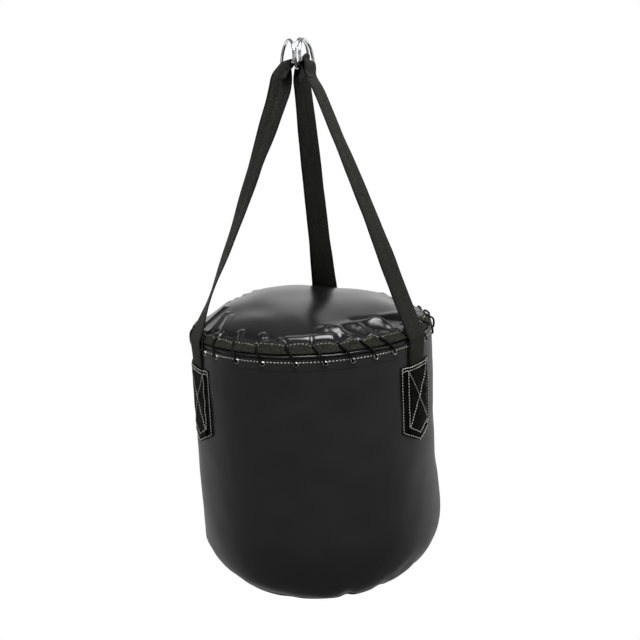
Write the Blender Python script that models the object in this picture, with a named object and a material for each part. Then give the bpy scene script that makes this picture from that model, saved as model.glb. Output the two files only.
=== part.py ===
"""Hanging punching bag with a laced top cover and three webbing straps.

Metres, +Z up. The origin is the point where the hook carries the three D-rings.
Azimuth 0 faces -Y (the front) and grows towards +X.
"""
import math

import bmesh
import bpy
from mathutils import Matrix, Vector

for old in list(bpy.data.objects):
    bpy.data.objects.remove(old, do_unlink=True)

# Driving dimensions
BAG_RADIUS = 0.170          # outside of the wall at the rim
WALL_SPREAD = 0.011         # how much the wall widens per metre downwards
SKIN = 0.0015               # coated fabric of wall, cover and bottom panel
GAP = 0.0004                # clearance between sewn layers
FACETS = 60                 # flats round every turned piece
FIRST_FACET = 0.5           # azimuth of the first corner between two flats

EYELETS = 30
EYELET_PITCH = 360 / EYELETS
FRONT_EYELET = 3.5
# the eyelets at the front are punched unevenly: shift in degrees, by number from the front one
EYELET_SHIFT = {-4: -2.6, -3: -2.0, -2: -1.3, -1: 1.4, 0: 1.7, 1: 1.6, 2: 0.5, 3: -1.4}
WALL_EYELET_Z = -0.393
COVER_EYELET_R = 0.161
# each cover eyelet sits this many degrees before its wall eyelet: a mean, and more to the right
LAG_MEAN = 4.9
LAG_SWING = 3.2

WALL_TOP_Z = -0.3864
CORNER_TOP_Z = -0.6414      # where the wall starts to turn in
BOTTOM_Z = -0.733
CORNER_REACH = 0.0359       # how far the wall turns in

COVER_TOP_Z = -0.342
COVER_DROP = 0.0268         # fall of the crown at the shoulder radius
SHOULDER_R = 0.154
CROWN_POWER = 2.6
BREAK_R = 0.156             # the lacing pulls the cover down from here to its edge
COVER_EDGE_R = 0.1690
EDGE_DROP = 0.0036
EDGE_POWER = 1.6

PIPING_R = 0.1700
PIPING_Z = -0.3837
PIPING_RADIUS = 0.0022
WELT_R = 0.1368
WELT_Z = -0.7357
WELT_RADIUS = 0.0018

CORD_RADIUS = 0.0015
CORD_LIFT = 0.0032          # cord's centre above a cover eyelet
CORD_DIP = 0.0048           # and below it, inside the bag
# rest of one turn: share of the way to the next eyelet, radius, height
LACING_OUTSIDE = [(0.20, 0.1676, -0.3733), (0.45, 0.1722, -0.3773), (0.70, 0.1744, -0.3835),
                  (0.95, 0.1740, -0.3922)]
LACING_INSIDE = [(0.0, 0.1645, -0.3928), (0.5, 0.1625, -0.3845)]
KNOT_SIZE = 0.0026
KNOT_LIFT = 0.0060          # knot's centre outside the wall

STRAPS = {"left": -65.5, "right": 53.0, "back": 171.5}
STRAP_WIDTH = 0.040
STRAP_THICK = 0.0020
FOLD_INNER_R = 0.1766       # inner face of the webbing where it folds over the rim
FOLD_Z = -0.3795
FOLD_CLEAR = 0.0010         # free webbing starts this far above the fold line
HINGE_PROUD = 0.0005        # the fold line lies just outside the webbing

RING_WIRE = 0.0022          # wire radius
RING_HALF_WIDTH = 0.0232
RING_HEIGHT = 0.030
RING_CORNER = 0.004
RING_TOP_X = {"left": -0.0123, "right": 0.0087, "back": 0.0008}
RING_LEAN = 0.30            # how far the rings follow the straps instead of hanging plumb
RING_FACING = {"left": -70.0, "right": 70.0, "back": 250.0}
LOOP_CLEAR = 0.0005
TAIL_SIDE = {"left": -1, "right": 1, "back": -1}    # +1: tail on the outer face
TAIL_LENGTH = 0.022
# extra turn of each strap on the way up, in degrees at fractions of its length
STRAP_TURN = {
    "left": [(0.0, 0), (0.17, -18), (0.36, -7), (0.62, 4), (0.82, 17)],
    "right": [(0.0, 0), (0.25, 0), (0.5, 6), (0.75, 12)],
    "back": [(0.0, 0), (0.12, 32), (0.3, 46), (0.6, 52), (0.85, 60)],
}
TWIST_END = 0.90            # above this the webbing lies as the ring's bar does

PATCH_WIDTH = 0.070
PATCH_TOP_Z = -0.417
PATCH_CORNER_Z = -0.5074
PATCH_TIP_Z = -0.5253
PATCH_THICK = 0.0013
ANCHOR_END_Z = -0.511

BINDING_INNER_R = 0.1600
BINDING_THICK = 0.0010
SEAM_AZIMUTH = 150.0
SEAM_HALF = 0.009
SEAM_THICK = 0.0012
PANEL_FLAT_R = 0.050        # middle of the bottom panel, pushed flat by the filling
PANEL_FLAT_Z = -0.7385
PANEL_EDGE_R = 0.1362

LAYER_GAP = 0.0006          # between the skin, the foam and the filling
SLEEVE_THICK = 0.0079
CORE_TOP_Z = -0.386
CORE_BOTTOM_Z = -0.7155
TOP_PAD_R = 0.149
BASE_PAD_R = 0.1285


def at(azimuth, radius, z):
    """Point on a circle round the bag's axis."""
    a = math.radians(azimuth)
    return Vector((radius * math.sin(a), -radius * math.cos(a), z))


def outward(azimuth):
    return at(azimuth, 1, 0)


def sideways(azimuth):
    a = math.radians(azimuth)
    return Vector((math.cos(a), math.sin(a), 0))


def wall_radius(z):
    return BAG_RADIUS + WALL_SPREAD * (WALL_EYELET_Z - z)


def crown_z(r):
    """Height of the cover's outer face."""
    edge = max(0, (r - BREAK_R) / (COVER_EDGE_R - BREAK_R))
    return COVER_TOP_Z - COVER_DROP * (r / SHOULDER_R) ** CROWN_POWER - EDGE_DROP * edge ** EDGE_POWER


def crown_normal(r):
    """Normal of the cover's outer face, as (radial, z)."""
    step = 0.0002
    slope = (crown_z(r - step) - crown_z(r + step)) / (2 * step) if r > step else 0
    return Vector((slope, 1)).normalized()


def material(name, colour, roughness, metallic=0.0):
    mat = bpy.data.materials.get(name) or bpy.data.materials.new(name)
    mat.use_nodes = True
    shader = mat.node_tree.nodes["Principled BSDF"]
    shader.inputs["Base Color"].default_value = (*colour, 1)
    shader.inputs["Roughness"].default_value = roughness
    shader.inputs["Metallic"].default_value = metallic
    return mat


VINYL = ("satin_vinyl", (0.022, 0.022, 0.023), 0.42)
GLOSS = ("glossy_vinyl", (0.030, 0.030, 0.032), 0.25)
WEBBING = ("black_webbing", (0.018, 0.018, 0.017), 0.75)
NICKEL = ("nickel_plate", (0.75, 0.75, 0.76), 0.25, 1.0)
CHROME = ("chrome_wire", (0.82, 0.82, 0.84), 0.12, 1.0)
CORD = ("braided_cord", (0.012, 0.012, 0.012), 0.6)
FOAM = ("grey_foam", (0.30, 0.30, 0.31), 0.9)
RAGS = ("textile_filling", (0.35, 0.32, 0.30), 0.95)


def add_object(name, data, finish, smooth=40, place=None):
    obj = bpy.data.objects.new(name, data)
    bpy.context.scene.collection.objects.link(obj)
    data.materials.append(material(f"{name}_{finish[0]}", *finish[1:]))
    if smooth and obj.type == "MESH":
        data.shade_smooth()
        data.set_sharp_from_angle(angle=math.radians(smooth))
    if place is not None:
        obj.location = place
    return obj


def mesh_from(bm, name):
    bmesh.ops.remove_doubles(bm, verts=bm.verts, dist=1e-7)
    bmesh.ops.recalc_face_normals(bm, faces=bm.faces)
    mesh = bpy.data.meshes.new(name)
    bm.to_mesh(mesh)
    bm.free()
    return mesh


def turned(name, profile, finish):
    """Closed profile of (radius, z) points, spun round the bag's axis."""
    bm = bmesh.new()
    rim = [bm.verts.new(at(FIRST_FACET, r, z)) for r, z in profile]
    edges = [bm.edges.new((a, b)) for a, b in zip(rim, rim[1:] + rim[:1])]
    bmesh.ops.spin(bm, geom=rim + edges, cent=(0, 0, 0), axis=(0, 0, 1),
                   angle=math.tau, steps=FACETS, use_merge=True)
    bmesh.ops.remove_doubles(bm, verts=bm.verts, dist=1e-6)
    loose = [e for e in bm.edges if not e.link_faces]
    bmesh.ops.delete(bm, geom=loose, context="EDGES")
    return add_object(name, mesh_from(bm, name), finish)


def circle_profile(r, z, radius, sides):
    turns = [math.tau * i / sides for i in range(sides)]
    return [(r + radius * math.cos(t), z + radius * math.sin(t)) for t in turns]


def slab_mesh(name, inner, outer):
    """Closed sheet between two grids of points, each a list of rows."""
    bm = bmesh.new()
    low = [[bm.verts.new(p) for p in row] for row in inner]
    high = [[bm.verts.new(p) for p in row] for row in outer]
    rows, cols = len(low), len(low[0])
    for i in range(rows - 1):
        for j in range(cols - 1):
            for g in (low, high):
                bm.faces.new((g[i][j], g[i][j + 1], g[i + 1][j + 1], g[i + 1][j]))
        for j in (0, cols - 1):
            bm.faces.new((low[i][j], low[i + 1][j], high[i + 1][j], high[i][j]))
    for j in range(cols - 1):
        for i in (0, rows - 1):
            bm.faces.new((low[i][j], low[i][j + 1], high[i][j + 1], high[i][j]))
    return mesh_from(bm, name)


def tube(name, points, radius, finish, cyclic=False, resolution=2, place=None):
    """Round wire or cord along a list of points."""
    curve = bpy.data.curves.new(name, "CURVE")
    curve.dimensions = "3D"
    curve.bevel_depth = radius
    curve.bevel_resolution = resolution
    curve.use_fill_caps = not cyclic
    spline = curve.splines.new("POLY")
    spline.points.add(len(points) - 1)
    for slot, p in zip(spline.points, points):
        slot.co = (*p, 1)
    spline.use_cyclic_u = cyclic
    return add_object(name, curve, finish, place=place)


def wall_eyelet(number):
    """Azimuth of an eyelet in the wall, numbered from the front one."""
    half = EYELETS // 2
    return FRONT_EYELET + number * EYELET_PITCH + EYELET_SHIFT.get((number + half) % EYELETS - half, 0)


def cover_eyelet(number):
    azimuth = wall_eyelet(number)
    return azimuth - LAG_MEAN - LAG_SWING * math.sin(math.radians(azimuth))


def eyelet_frames(place, centre, normal):
    """Place and axis of each eyelet in a row, centre and normal being (radial, z)."""
    frames = []
    for number in range(EYELETS):
        axis = outward(place(number)) * normal[0] + Vector((0, 0, normal[1]))
        flat = math.cos(math.pi / FACETS)
        frames.append((at(place(number), centre[0] * flat, centre[1]), axis))
    return frames


def facing_matrix(centre, axis):
    """Turns +Z to the axis of an eyelet, at its place."""
    return Matrix.Translation(centre) @ axis.to_track_quat("Z", "X").to_matrix().to_4x4()


def prisms(name, frames, levels):
    """Hidden row of six-sided studs, each a stack of (radius, height) levels."""
    bm = bmesh.new()
    for centre, axis in frames:
        place = facing_matrix(centre, axis)
        loops = []
        for radius, height in levels:
            turns = [math.tau * i / EYELET_SIDES for i in range(EYELET_SIDES)]
            loops.append([bm.verts.new(place @ Vector((radius * math.cos(t), radius * math.sin(t), height)))
                          for t in turns])
        for low, high in zip(loops, loops[1:]):
            for i in range(EYELET_SIDES):
                j = (i + 1) % EYELET_SIDES
                bm.faces.new((low[i], low[j], high[j], high[i]))
        bm.faces.new(loops[0][::-1])
        bm.faces.new(loops[-1])
    tool = bpy.data.objects.new(name, mesh_from(bm, name))
    bpy.context.scene.collection.objects.link(tool)
    tool.hide_render = True
    tool.display_type = "WIRE"
    return tool


def combine(target, tool, operation):
    step = target.modifiers.new(operation.lower(), "BOOLEAN")
    step.operation = operation
    step.solver = "EXACT"
    step.object = tool


EYELET_SIDES = 6
EYELET_BORE = 0.0024
EYELET_BARREL = 0.0029
EYELET_FLANGE = 0.0040
EYELET_HOLE = 0.0033
EYELET_RISE = 0.0012
BAND_DEPTH = SKIN + 0.0005      # top of the reinforcing band below the outer face of the skin
BAND_THICK = 0.0010
STUD_LEVELS = [(EYELET_BARREL, -BAND_DEPTH - BAND_THICK / 2), (EYELET_BARREL, GAP), (EYELET_FLANGE, GAP),
               (EYELET_FLANGE - 0.0003, EYELET_RISE)]
HOLE_LEVELS = [(EYELET_HOLE, -0.004), (EYELET_HOLE, 0.004)]
BORE_LEVELS = [(EYELET_BORE, -0.006), (EYELET_BORE, 0.004)]

cover_normal = crown_normal(COVER_EYELET_R)
COVER_EYELET_Z = crown_z(COVER_EYELET_R)
WALL_FRAMES = eyelet_frames(wall_eyelet, (wall_radius(WALL_EYELET_Z), WALL_EYELET_Z), (1, 0))
COVER_FRAMES = eyelet_frames(cover_eyelet, (COVER_EYELET_R, COVER_EYELET_Z), cover_normal)


def make_side_wall():
    """Tube of coated fabric, turned in at the bottom."""
    steps = 6
    outer = [(wall_radius(z), z) for z in (WALL_TOP_Z, -0.402, -0.530, CORNER_TOP_Z)]
    corner_r = wall_radius(CORNER_TOP_Z) - CORNER_REACH
    corner_h = CORNER_TOP_Z - BOTTOM_Z
    turns = [math.pi / 2 * i / steps for i in range(1, steps + 1)]
    outer += [(corner_r + CORNER_REACH * math.cos(t), CORNER_TOP_Z - corner_h * math.sin(t))
              for t in turns]
    inner = [(corner_r + (CORNER_REACH - SKIN) * math.cos(t),
              CORNER_TOP_Z - (corner_h - SKIN) * math.sin(t)) for t in turns[1::2]]
    inner = inner[::-1]
    inner += [(wall_radius(z) - SKIN, z) for z in (CORNER_TOP_Z, -0.402, WALL_TOP_Z)]
    wall = turned("side_wall", outer + inner, VINYL)
    combine(wall, prisms("wall_hole_cutter", WALL_FRAMES, HOLE_LEVELS), "DIFFERENCE")


def make_side_seam():
    """Strip that covers the upright seam at the back of the wall."""
    levels = (-0.4035, -0.460, -0.530, -0.600, -0.639)

    def face(lift):
        return [[at(SEAM_AZIMUTH + math.degrees(x / wall_radius(z)), wall_radius(z) + lift, z)
                 for x in (-SEAM_HALF, 0, SEAM_HALF)] for z in levels]
    mesh = slab_mesh("side_seam", face(GAP), face(GAP + SEAM_THICK))
    add_object("side_seam", mesh, VINYL)


def make_bottom():
    """Bottom panel, pushed down a little by the filling, and the welt sewn into its seam."""
    lower = [(0, PANEL_FLAT_Z), (PANEL_FLAT_R, PANEL_FLAT_Z), (PANEL_EDGE_R, BOTTOM_Z - 0.0002)]
    upper = [(r, z + SKIN) for r, z in lower[::-1]]
    turned("bottom_panel", lower + upper, VINYL)
    turned("bottom_welt", circle_profile(WELT_R, WELT_Z, WELT_RADIUS, 6), VINYL)


def make_cover():
    """Crowned top cover with its hem binding; the holes carry the lacing."""
    radii = (0, 0.060, 0.100, 0.130, 0.148, BREAK_R, 0.163, COVER_EDGE_R)
    outer = [(r, crown_z(r)) for r in radii]
    inner = [(r - SKIN * crown_normal(r).x, crown_z(r) - SKIN * crown_normal(r).y) for r in radii[::-1]]
    inner[-1] = (0, COVER_TOP_Z - SKIN)
    cover = turned("top_cover", outer + inner, GLOSS)
    combine(cover, prisms("cover_hole_cutter", COVER_FRAMES, HOLE_LEVELS), "DIFFERENCE")
    band = [BINDING_INNER_R, 0.1650, COVER_EDGE_R]

    def lifted(r, lift):
        n = crown_normal(r)
        return (r + lift * n.x, crown_z(r) + lift * n.y)
    strip = [lifted(r, GAP) for r in band] + [lifted(r, GAP + BINDING_THICK) for r in band[::-1]]
    binding = turned("cover_binding", strip, WEBBING)
    notch = EYELET_FLANGE + GAP
    notches = prisms("binding_notch_cutter", COVER_FRAMES, [(notch, -0.004), (notch, 0.004)])
    combine(binding, notches, "DIFFERENCE")
    turned("rim_piping", circle_profile(PIPING_R, PIPING_Z, PIPING_RADIUS, 6), VINYL)


def make_eyelets():
    """Reinforcing bands inside the wall and under the cover, with the eyelets crimped through them."""
    top, bottom = WALL_EYELET_Z + 0.006, WALL_EYELET_Z - 0.006
    out = [wall_radius(z) - BAND_DEPTH for z in (top, bottom)]
    profile = [(out[0], top), (out[1], bottom), (out[1] - BAND_THICK, bottom), (out[0] - BAND_THICK, top)]
    eyelet_band("wall_eyelet_band", profile, WALL_FRAMES)

    def under(r, depth):
        n = crown_normal(r)
        return (r - depth * n.x, crown_z(r) - depth * n.y)
    edges = (COVER_EYELET_R - 0.0055, COVER_EYELET_R, COVER_EYELET_R + 0.0045)
    profile = [under(r, BAND_DEPTH) for r in edges]
    profile += [under(r, BAND_DEPTH + BAND_THICK) for r in edges[::-1]]
    eyelet_band("cover_eyelet_band", profile, COVER_FRAMES)


def eyelet_band(name, profile, frames):
    band = turned(name, profile, NICKEL)
    combine(band, prisms(name + "_studs", frames, STUD_LEVELS), "UNION")
    combine(band, prisms(name + "_bores", frames, BORE_LEVELS), "DIFFERENCE")


def lacing_turn(number):
    """One turn of the lacing: out of a cover eyelet, over the rim, in at the wall and up to the next."""
    start, wall, end = cover_eyelet(number), wall_eyelet(number), cover_eyelet(number + 1)
    n = cover_normal
    over = (COVER_EYELET_R + CORD_LIFT * n.x, COVER_EYELET_Z + CORD_LIFT * n.y)
    under = (COVER_EYELET_R - CORD_DIP * n.x, COVER_EYELET_Z - CORD_DIP * n.y)
    turn = [at(start, COVER_EYELET_R, COVER_EYELET_Z), at(start, *over)]
    turn += [at(start + (wall - start) * share, r, z) for share, r, z in LACING_OUTSIDE]
    turn.append(at(wall, BAG_RADIUS, WALL_EYELET_Z))
    turn += [at(wall + (end - wall) * share, r, z) for share, r, z in LACING_INSIDE]
    turn.append(at(end, *under))
    return turn


# the last wall eyelet, at the back, and the cord's two ends on both sides of the knot
LAST_EYELET = wall_eyelet(EYELETS // 2)
KNOT_CENTRE = at(LAST_EYELET + 3.1, BAG_RADIUS + KNOT_LIFT, -0.3885)
CORD_START = [at(LAST_EYELET + 5.4, BAG_RADIUS + KNOT_LIFT, -0.3870), at(LAST_EYELET + 7.8, 0.1765, -0.3822)]
CORD_END = at(LAST_EYELET + 0.8, BAG_RADIUS + KNOT_LIFT, -0.3905)


def make_lacing():
    """Cord laced round the rim in one length; both ends meet in a knot at the back."""
    turns = [lacing_turn(EYELETS // 2 + i) for i in range(1, EYELETS + 1)]
    first, last = turns[0][4:], turns[-1][:6]
    points = CORD_START + first + [p for turn in turns[1:-1] for p in turn] + last + [CORD_END]
    tube("lacing_cord", points, CORD_RADIUS, CORD, resolution=1)
    side, up, out = sideways(LAST_EYELET + 3), Vector((0, 0, 1)), outward(LAST_EYELET + 3)
    knot = []
    for i in range(24):
        t = math.tau * i / 24
        x, y, z = math.sin(t) + 2 * math.sin(2 * t), math.cos(t) - 2 * math.cos(2 * t), -math.sin(3 * t)
        knot.append(KNOT_CENTRE + KNOT_SIZE * (x * up / 2 + y * side / 2 + z * out * 0.7))
    tube("lacing_knot", knot, CORD_RADIUS * 0.7, CORD, cyclic=True, resolution=1)


def strap_frame(name):
    """Fold line, ring bar and directions of one strap."""
    azimuth = STRAPS[name]
    side = sideways(azimuth)
    hinge = at(azimuth, FOLD_INNER_R + STRAP_THICK + HINGE_PROUD, FOLD_Z)
    top = Vector((RING_TOP_X[name], 0, RING_WIRE))
    fold = at(azimuth, FOLD_INNER_R + STRAP_THICK / 2, FOLD_Z)
    facing = math.radians(RING_FACING[name])
    plumb = Vector((0, 0, -1))
    rise = -plumb
    # the bar is square to the strap and the ring stands on the bar, so each depends on the other
    for _ in range(6):
        centre = top - RING_HEIGHT * rise
        down = (fold - centre).normalized()
        bar = Vector((math.cos(facing), math.sin(facing), 0))
        bar = (bar - bar.dot(down) * down).normalized()
        hang = plumb.lerp(down, RING_LEAN)
        rise = -(hang - hang.dot(bar) * bar).normalized()
    return {"side": side, "hinge": hinge, "down": down, "bar": bar, "rise": rise, "centre": centre}


def turn_at(table, end, fraction):
    """Twist in degrees at a fraction of the strap, smooth between the given points."""
    knots = table + [(TWIST_END, end), (1.0, end)]
    for (f0, t0), (f1, t1) in zip(knots, knots[1:]):
        if fraction <= f1:
            u = max(0.0, (fraction - f0) / (f1 - f0))
            u = u * u * (3 - 2 * u)
            return t0 + (t1 - t0) * u
    return knots[-1][1]


def strap_stations(name):
    """Centre and width direction along the free webbing, up, round the ring's bar and down the tail."""
    f = strap_frame(name)
    up = -f["down"]
    side = (f["side"] - f["side"].dot(up) * up).normalized()
    out = side.cross(up)
    bar = f["bar"]
    if bar.dot(side) < 0:
        bar = -bar
    end_turn = math.degrees(math.atan2(bar.cross(side).dot(-up), bar.dot(side)))
    ring_out = bar.cross(up)
    reach = RING_WIRE + LOOP_CLEAR + STRAP_THICK / 2
    tail = TAIL_SIDE[name]
    start = f["hinge"] + FOLD_CLEAR * up - (HINGE_PROUD + STRAP_THICK / 2) * out
    end = f["centre"] - tail * reach * ring_out
    stations = []
    steps = 22
    for i in range(steps + 1):
        u = i / steps
        turn = turn_at(STRAP_TURN[name], end_turn, u)
        across = Matrix.Rotation(math.radians(turn), 3, up) @ side
        stations.append((start.lerp(end, u), across))
    bends = 8
    for i in range(1, bends + 1):
        a = math.pi * i / bends
        radial = -tail * math.cos(a) * ring_out + math.sin(a) * up
        stations.append((f["centre"] + reach * radial, bar))
    close = STRAP_THICK + GAP
    for drop, apart in ((0.006, 1.6 * reach), (0.013, close + 0.0002), (TAIL_LENGTH, close)):
        base = end.lerp(start, drop / (end - start).length)
        stations.append((base + tail * apart * ring_out, bar))
    return stations


def ribbon_mesh(name, stations, origin):
    half_w, half_t = STRAP_WIDTH / 2, STRAP_THICK / 2
    path = [s[0] for s in stations]
    inner, outer = [], []
    for i, (centre, across) in enumerate(stations):
        along = (path[min(i + 1, len(path) - 1)] - path[max(i - 1, 0)]).normalized()
        normal = across.cross(along).normalized()
        spots = [centre - across * half_w, centre + across * half_w]
        inner.append([p - normal * half_t - origin for p in spots])
        outer.append([p + normal * half_t - origin for p in spots])
    return slab_mesh(name, inner, outer)


def ring_points(f):
    """D-ring centre line: straight bar, two bends and an arch."""
    up, bar = f["rise"], f["bar"]
    a, c, h = RING_HALF_WIDTH, RING_CORNER, RING_HEIGHT
    flat = []
    for i in range(4):
        t = -math.pi / 2 + math.pi / 2 * i / 3
        flat.append((a - c + c * math.cos(t), c + c * math.sin(t)))
    arch = 14
    for i in range(1, arch):
        t = math.pi * i / arch
        flat.append((a * math.cos(t), c + (h - c) * math.sin(t)))
    flat += [(-x, y) for x, y in flat[3::-1]]
    return [bar * x + up * y for x, y in flat]


def make_strap(name):
    """Free webbing, hinged where it folds over the rim, and its D-ring, hinged on its bar."""
    f = strap_frame(name)
    pivot = bpy.data.objects.new(f"fold_{name}", None)
    bpy.context.scene.collection.objects.link(pivot)
    pivot.location = f["hinge"]
    mesh = ribbon_mesh(f"strap_{name}", strap_stations(name), f["hinge"])
    strap = add_object(f"strap_{name}", mesh, WEBBING)
    strap.parent = pivot
    ring = tube(f"ring_{name}", ring_points(f), RING_WIRE, CHROME, cyclic=True, resolution=2,
                place=f["centre"] - f["hinge"])
    ring.parent = pivot


def make_anchor(name):
    """Sewn end of the webbing, from the fold down the wall to under the patch."""
    azimuth = STRAPS[name]
    top_z = FOLD_Z - FOLD_CLEAR
    # height, inner radius, and how flat the webbing lies (0 follows the wall, 1 is straight)
    levels = [(ANCHOR_END_Z, 0, 0), (-0.468, 0, 0), (-0.4165, 0, 0), (-0.4045, 0.0034, 0.4),
              (-0.3955, 0.0060, 0.8), (-0.388, 0.0063, 1), (top_z, None, 1)]
    columns = [STRAP_WIDTH * (i / 4 - 0.5) for i in range(5)]

    def face(lift):
        rows = []
        for z, stand_off, flat in levels:
            r = FOLD_INNER_R if stand_off is None else wall_radius(z) + GAP + stand_off
            row = []
            for x in columns:
                bent = at(azimuth + math.degrees(x / r), r + lift, z)
                straight = at(azimuth, r + lift, z) + sideways(azimuth) * x
                row.append(bent.lerp(straight, flat))
            rows.append(row)
        return rows
    mesh = slab_mesh(f"anchor_{name}", face(0), face(STRAP_THICK))
    add_object(f"anchor_{name}", mesh, WEBBING)


def make_patch(name):
    """Reinforcing patch with a pointed end, sewn over the webbing."""
    azimuth = STRAPS[name]
    half = PATCH_WIDTH / 2
    under = STRAP_THICK + 2 * GAP
    columns = [(-half, 0), (-0.026, 0), (-0.0215, under), (-0.0105, under), (0, under),
               (0.0105, under), (0.0215, under), (0.026, 0), (half, 0)]
    fractions = (0, 0.35, 0.7, 1)

    def face(lift):
        rows = []
        for fraction in fractions:
            row = []
            for x, raised in columns:
                foot = PATCH_TIP_Z + (PATCH_CORNER_Z - PATCH_TIP_Z) * abs(x) / half
                z = PATCH_TOP_Z + (foot - PATCH_TOP_Z) * fraction
                r = wall_radius(z) + GAP + raised + lift
                row.append(at(azimuth + math.degrees(x / r), r, z))
            rows.append(row)
        return rows
    mesh = slab_mesh(f"patch_{name}", face(0), face(PATCH_THICK))
    add_object(f"patch_{name}", mesh, WEBBING)


def make_filling():
    """What the bag holds: foam pads top and bottom, a foam sleeve and packed textile."""
    sleeve_out = SKIN + LAYER_GAP
    sleeve_in = sleeve_out + SLEEVE_THICK
    levels = (-0.402, -0.530, CORNER_TOP_Z)
    sleeve = [(wall_radius(z) - sleeve_out, z) for z in levels]
    sleeve += [(wall_radius(z) - sleeve_in, z) for z in levels[::-1]]
    turned("foam_sleeve", sleeve, FOAM)

    core_gap = sleeve_in + LAYER_GAP
    core = [(0, CORE_TOP_Z), (TOP_PAD_R, CORE_TOP_Z), (0.156, -0.402)]
    core += [(wall_radius(z) - core_gap, z) for z in (-0.408, CORNER_TOP_Z)]
    core += [(0.154, -0.678), (0.140, -0.706), (0.1275, CORE_BOTTOM_Z), (0, CORE_BOTTOM_Z)]
    turned("filling_core", core, RAGS)

    pad_foot = CORE_TOP_Z + LAYER_GAP
    pad = [(r, crown_z(r) - 1.2 * sleeve_out) for r in (0, 0.100, 0.130, TOP_PAD_R)]
    turned("top_pad", pad + [(TOP_PAD_R, pad_foot), (0, pad_foot)], FOAM)
    base_top = CORE_BOTTOM_Z - LAYER_GAP
    base = [(0, base_top), (BASE_PAD_R, base_top), (BASE_PAD_R, -0.7308), (0, PANEL_FLAT_Z + 0.0027)]
    turned("base_pad", base, FOAM)


make_side_wall()
make_side_seam()
make_bottom()
make_cover()
make_eyelets()
make_lacing()
for strap_name in STRAPS:
    make_strap(strap_name)
    make_anchor(strap_name)
    make_patch(strap_name)
make_filling()
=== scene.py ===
"""Hanging punching bag: laced top cover, three webbing straps and D-rings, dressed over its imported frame.

Metres, +Z up. The origin is where the hook carries the rings; azimuth 0 faces -Y, the front, and
grows towards +X.
"""
import math

import bmesh
import bpy
import numpy as np
from mathutils import Matrix, Vector


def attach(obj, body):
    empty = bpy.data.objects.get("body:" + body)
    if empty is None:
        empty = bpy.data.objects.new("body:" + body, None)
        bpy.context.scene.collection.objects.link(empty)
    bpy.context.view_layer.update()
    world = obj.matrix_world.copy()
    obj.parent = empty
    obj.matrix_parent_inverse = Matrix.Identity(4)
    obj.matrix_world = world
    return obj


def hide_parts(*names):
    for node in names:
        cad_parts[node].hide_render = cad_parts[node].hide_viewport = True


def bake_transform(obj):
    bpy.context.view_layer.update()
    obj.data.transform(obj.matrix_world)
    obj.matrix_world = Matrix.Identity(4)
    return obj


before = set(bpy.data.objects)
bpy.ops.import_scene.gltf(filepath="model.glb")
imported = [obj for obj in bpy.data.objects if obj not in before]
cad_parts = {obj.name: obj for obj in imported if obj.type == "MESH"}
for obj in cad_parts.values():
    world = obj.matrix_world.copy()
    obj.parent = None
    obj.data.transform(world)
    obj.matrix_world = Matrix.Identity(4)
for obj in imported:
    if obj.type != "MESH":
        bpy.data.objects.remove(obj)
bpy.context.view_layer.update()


# Filling: textile offcuts packed hard into the bag, with a foam sleeve round them and a foam pad at
# each end. It is what makes the vinyl stand tight; none of it shows on the closed bag.
COVER_TOP_Z = -0.342        # the cover's outer face, which the top pad fills
COVER_DROP = 0.0268         # fall of the cover at the shoulder radius
SHOULDER_R = 0.154
CROWN_POWER = 2.6
BREAK_R = 0.156             # the lacing pulls the cover down from here to its edge
COVER_EDGE_R = 0.1690
EDGE_DROP = 0.0036
EDGE_POWER = 1.6
# where the laced edge has sunk with the filling: azimuth, half width in degrees, depth
SUNK = [(-125, 44, 0.0095), (134, 38, 0.0080)]


def at(azimuth, radius, z):
    """Points round the bag's axis; the arguments are numbers or arrays."""
    a = np.radians(azimuth)
    return np.stack(np.broadcast_arrays(radius * np.sin(a), -radius * np.cos(a), z), axis=-1)


def crown_z(r):
    """Height of the cover's outer face, filled evenly."""
    edge = np.clip((r - BREAK_R) / (COVER_EDGE_R - BREAK_R), 0, None)
    return COVER_TOP_Z - COVER_DROP * (r / SHOULDER_R) ** CROWN_POWER - EDGE_DROP * edge ** EDGE_POWER


def turn_between(a, b):
    """Difference of two azimuths, from -180 to 180."""
    return (a - b + 180) % 360 - 180


def sunk(azimuth):
    """How far the laced edge has sunk where the filling has settled."""
    return sum(depth * np.exp(-(turn_between(azimuth, a) / width) ** 2) for a, width, depth in SUNK)


def ripple(points, size, seed, waves=14):
    """Smooth unevenness of a hand-filled thing, about -1 to 1, with bumps about size across."""
    rng = np.random.default_rng(seed)
    total = np.zeros(points.shape[:-1])
    for _ in range(waves):
        way = rng.normal(size=3)
        way *= math.tau / (size * rng.uniform(0.7, 1.6) * np.linalg.norm(way))
        total += np.sin(points @ way + rng.uniform(0, math.tau))
    return total / math.sqrt(waves)


def soft_step(x, low, high):
    """0 below low, 1 above high, smooth between."""
    t = np.clip((np.asarray(x, float) - low) / (high - low), 0, 1)
    return t * t * (3 - 2 * t)


def linear(code):
    """sRGB hex colour as linear values."""
    parts = [int(code[i:i + 2], 16) / 255 for i in (1, 3, 5)]
    return (*[p / 12.92 if p <= 0.04045 else ((p + 0.055) / 1.055) ** 2.4 for p in parts], 1.0)


def add_node(material, kind, settings=None, inputs=None):
    """One shader node: its settings, and its inputs as values or as the outputs that feed them."""
    node = material.node_tree.nodes.new(kind)
    for key, value in (settings or {}).items():
        setattr(node, key, value)
    for key, value in (inputs or {}).items():
        if isinstance(value, bpy.types.NodeSocket):
            material.node_tree.links.new(value, node.inputs[key])
        else:
            node.inputs[key].default_value = value
    return node


def new_material(name):
    material = bpy.data.materials.new(name)
    material.use_nodes = True
    material.node_tree.nodes.clear()
    return material


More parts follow.
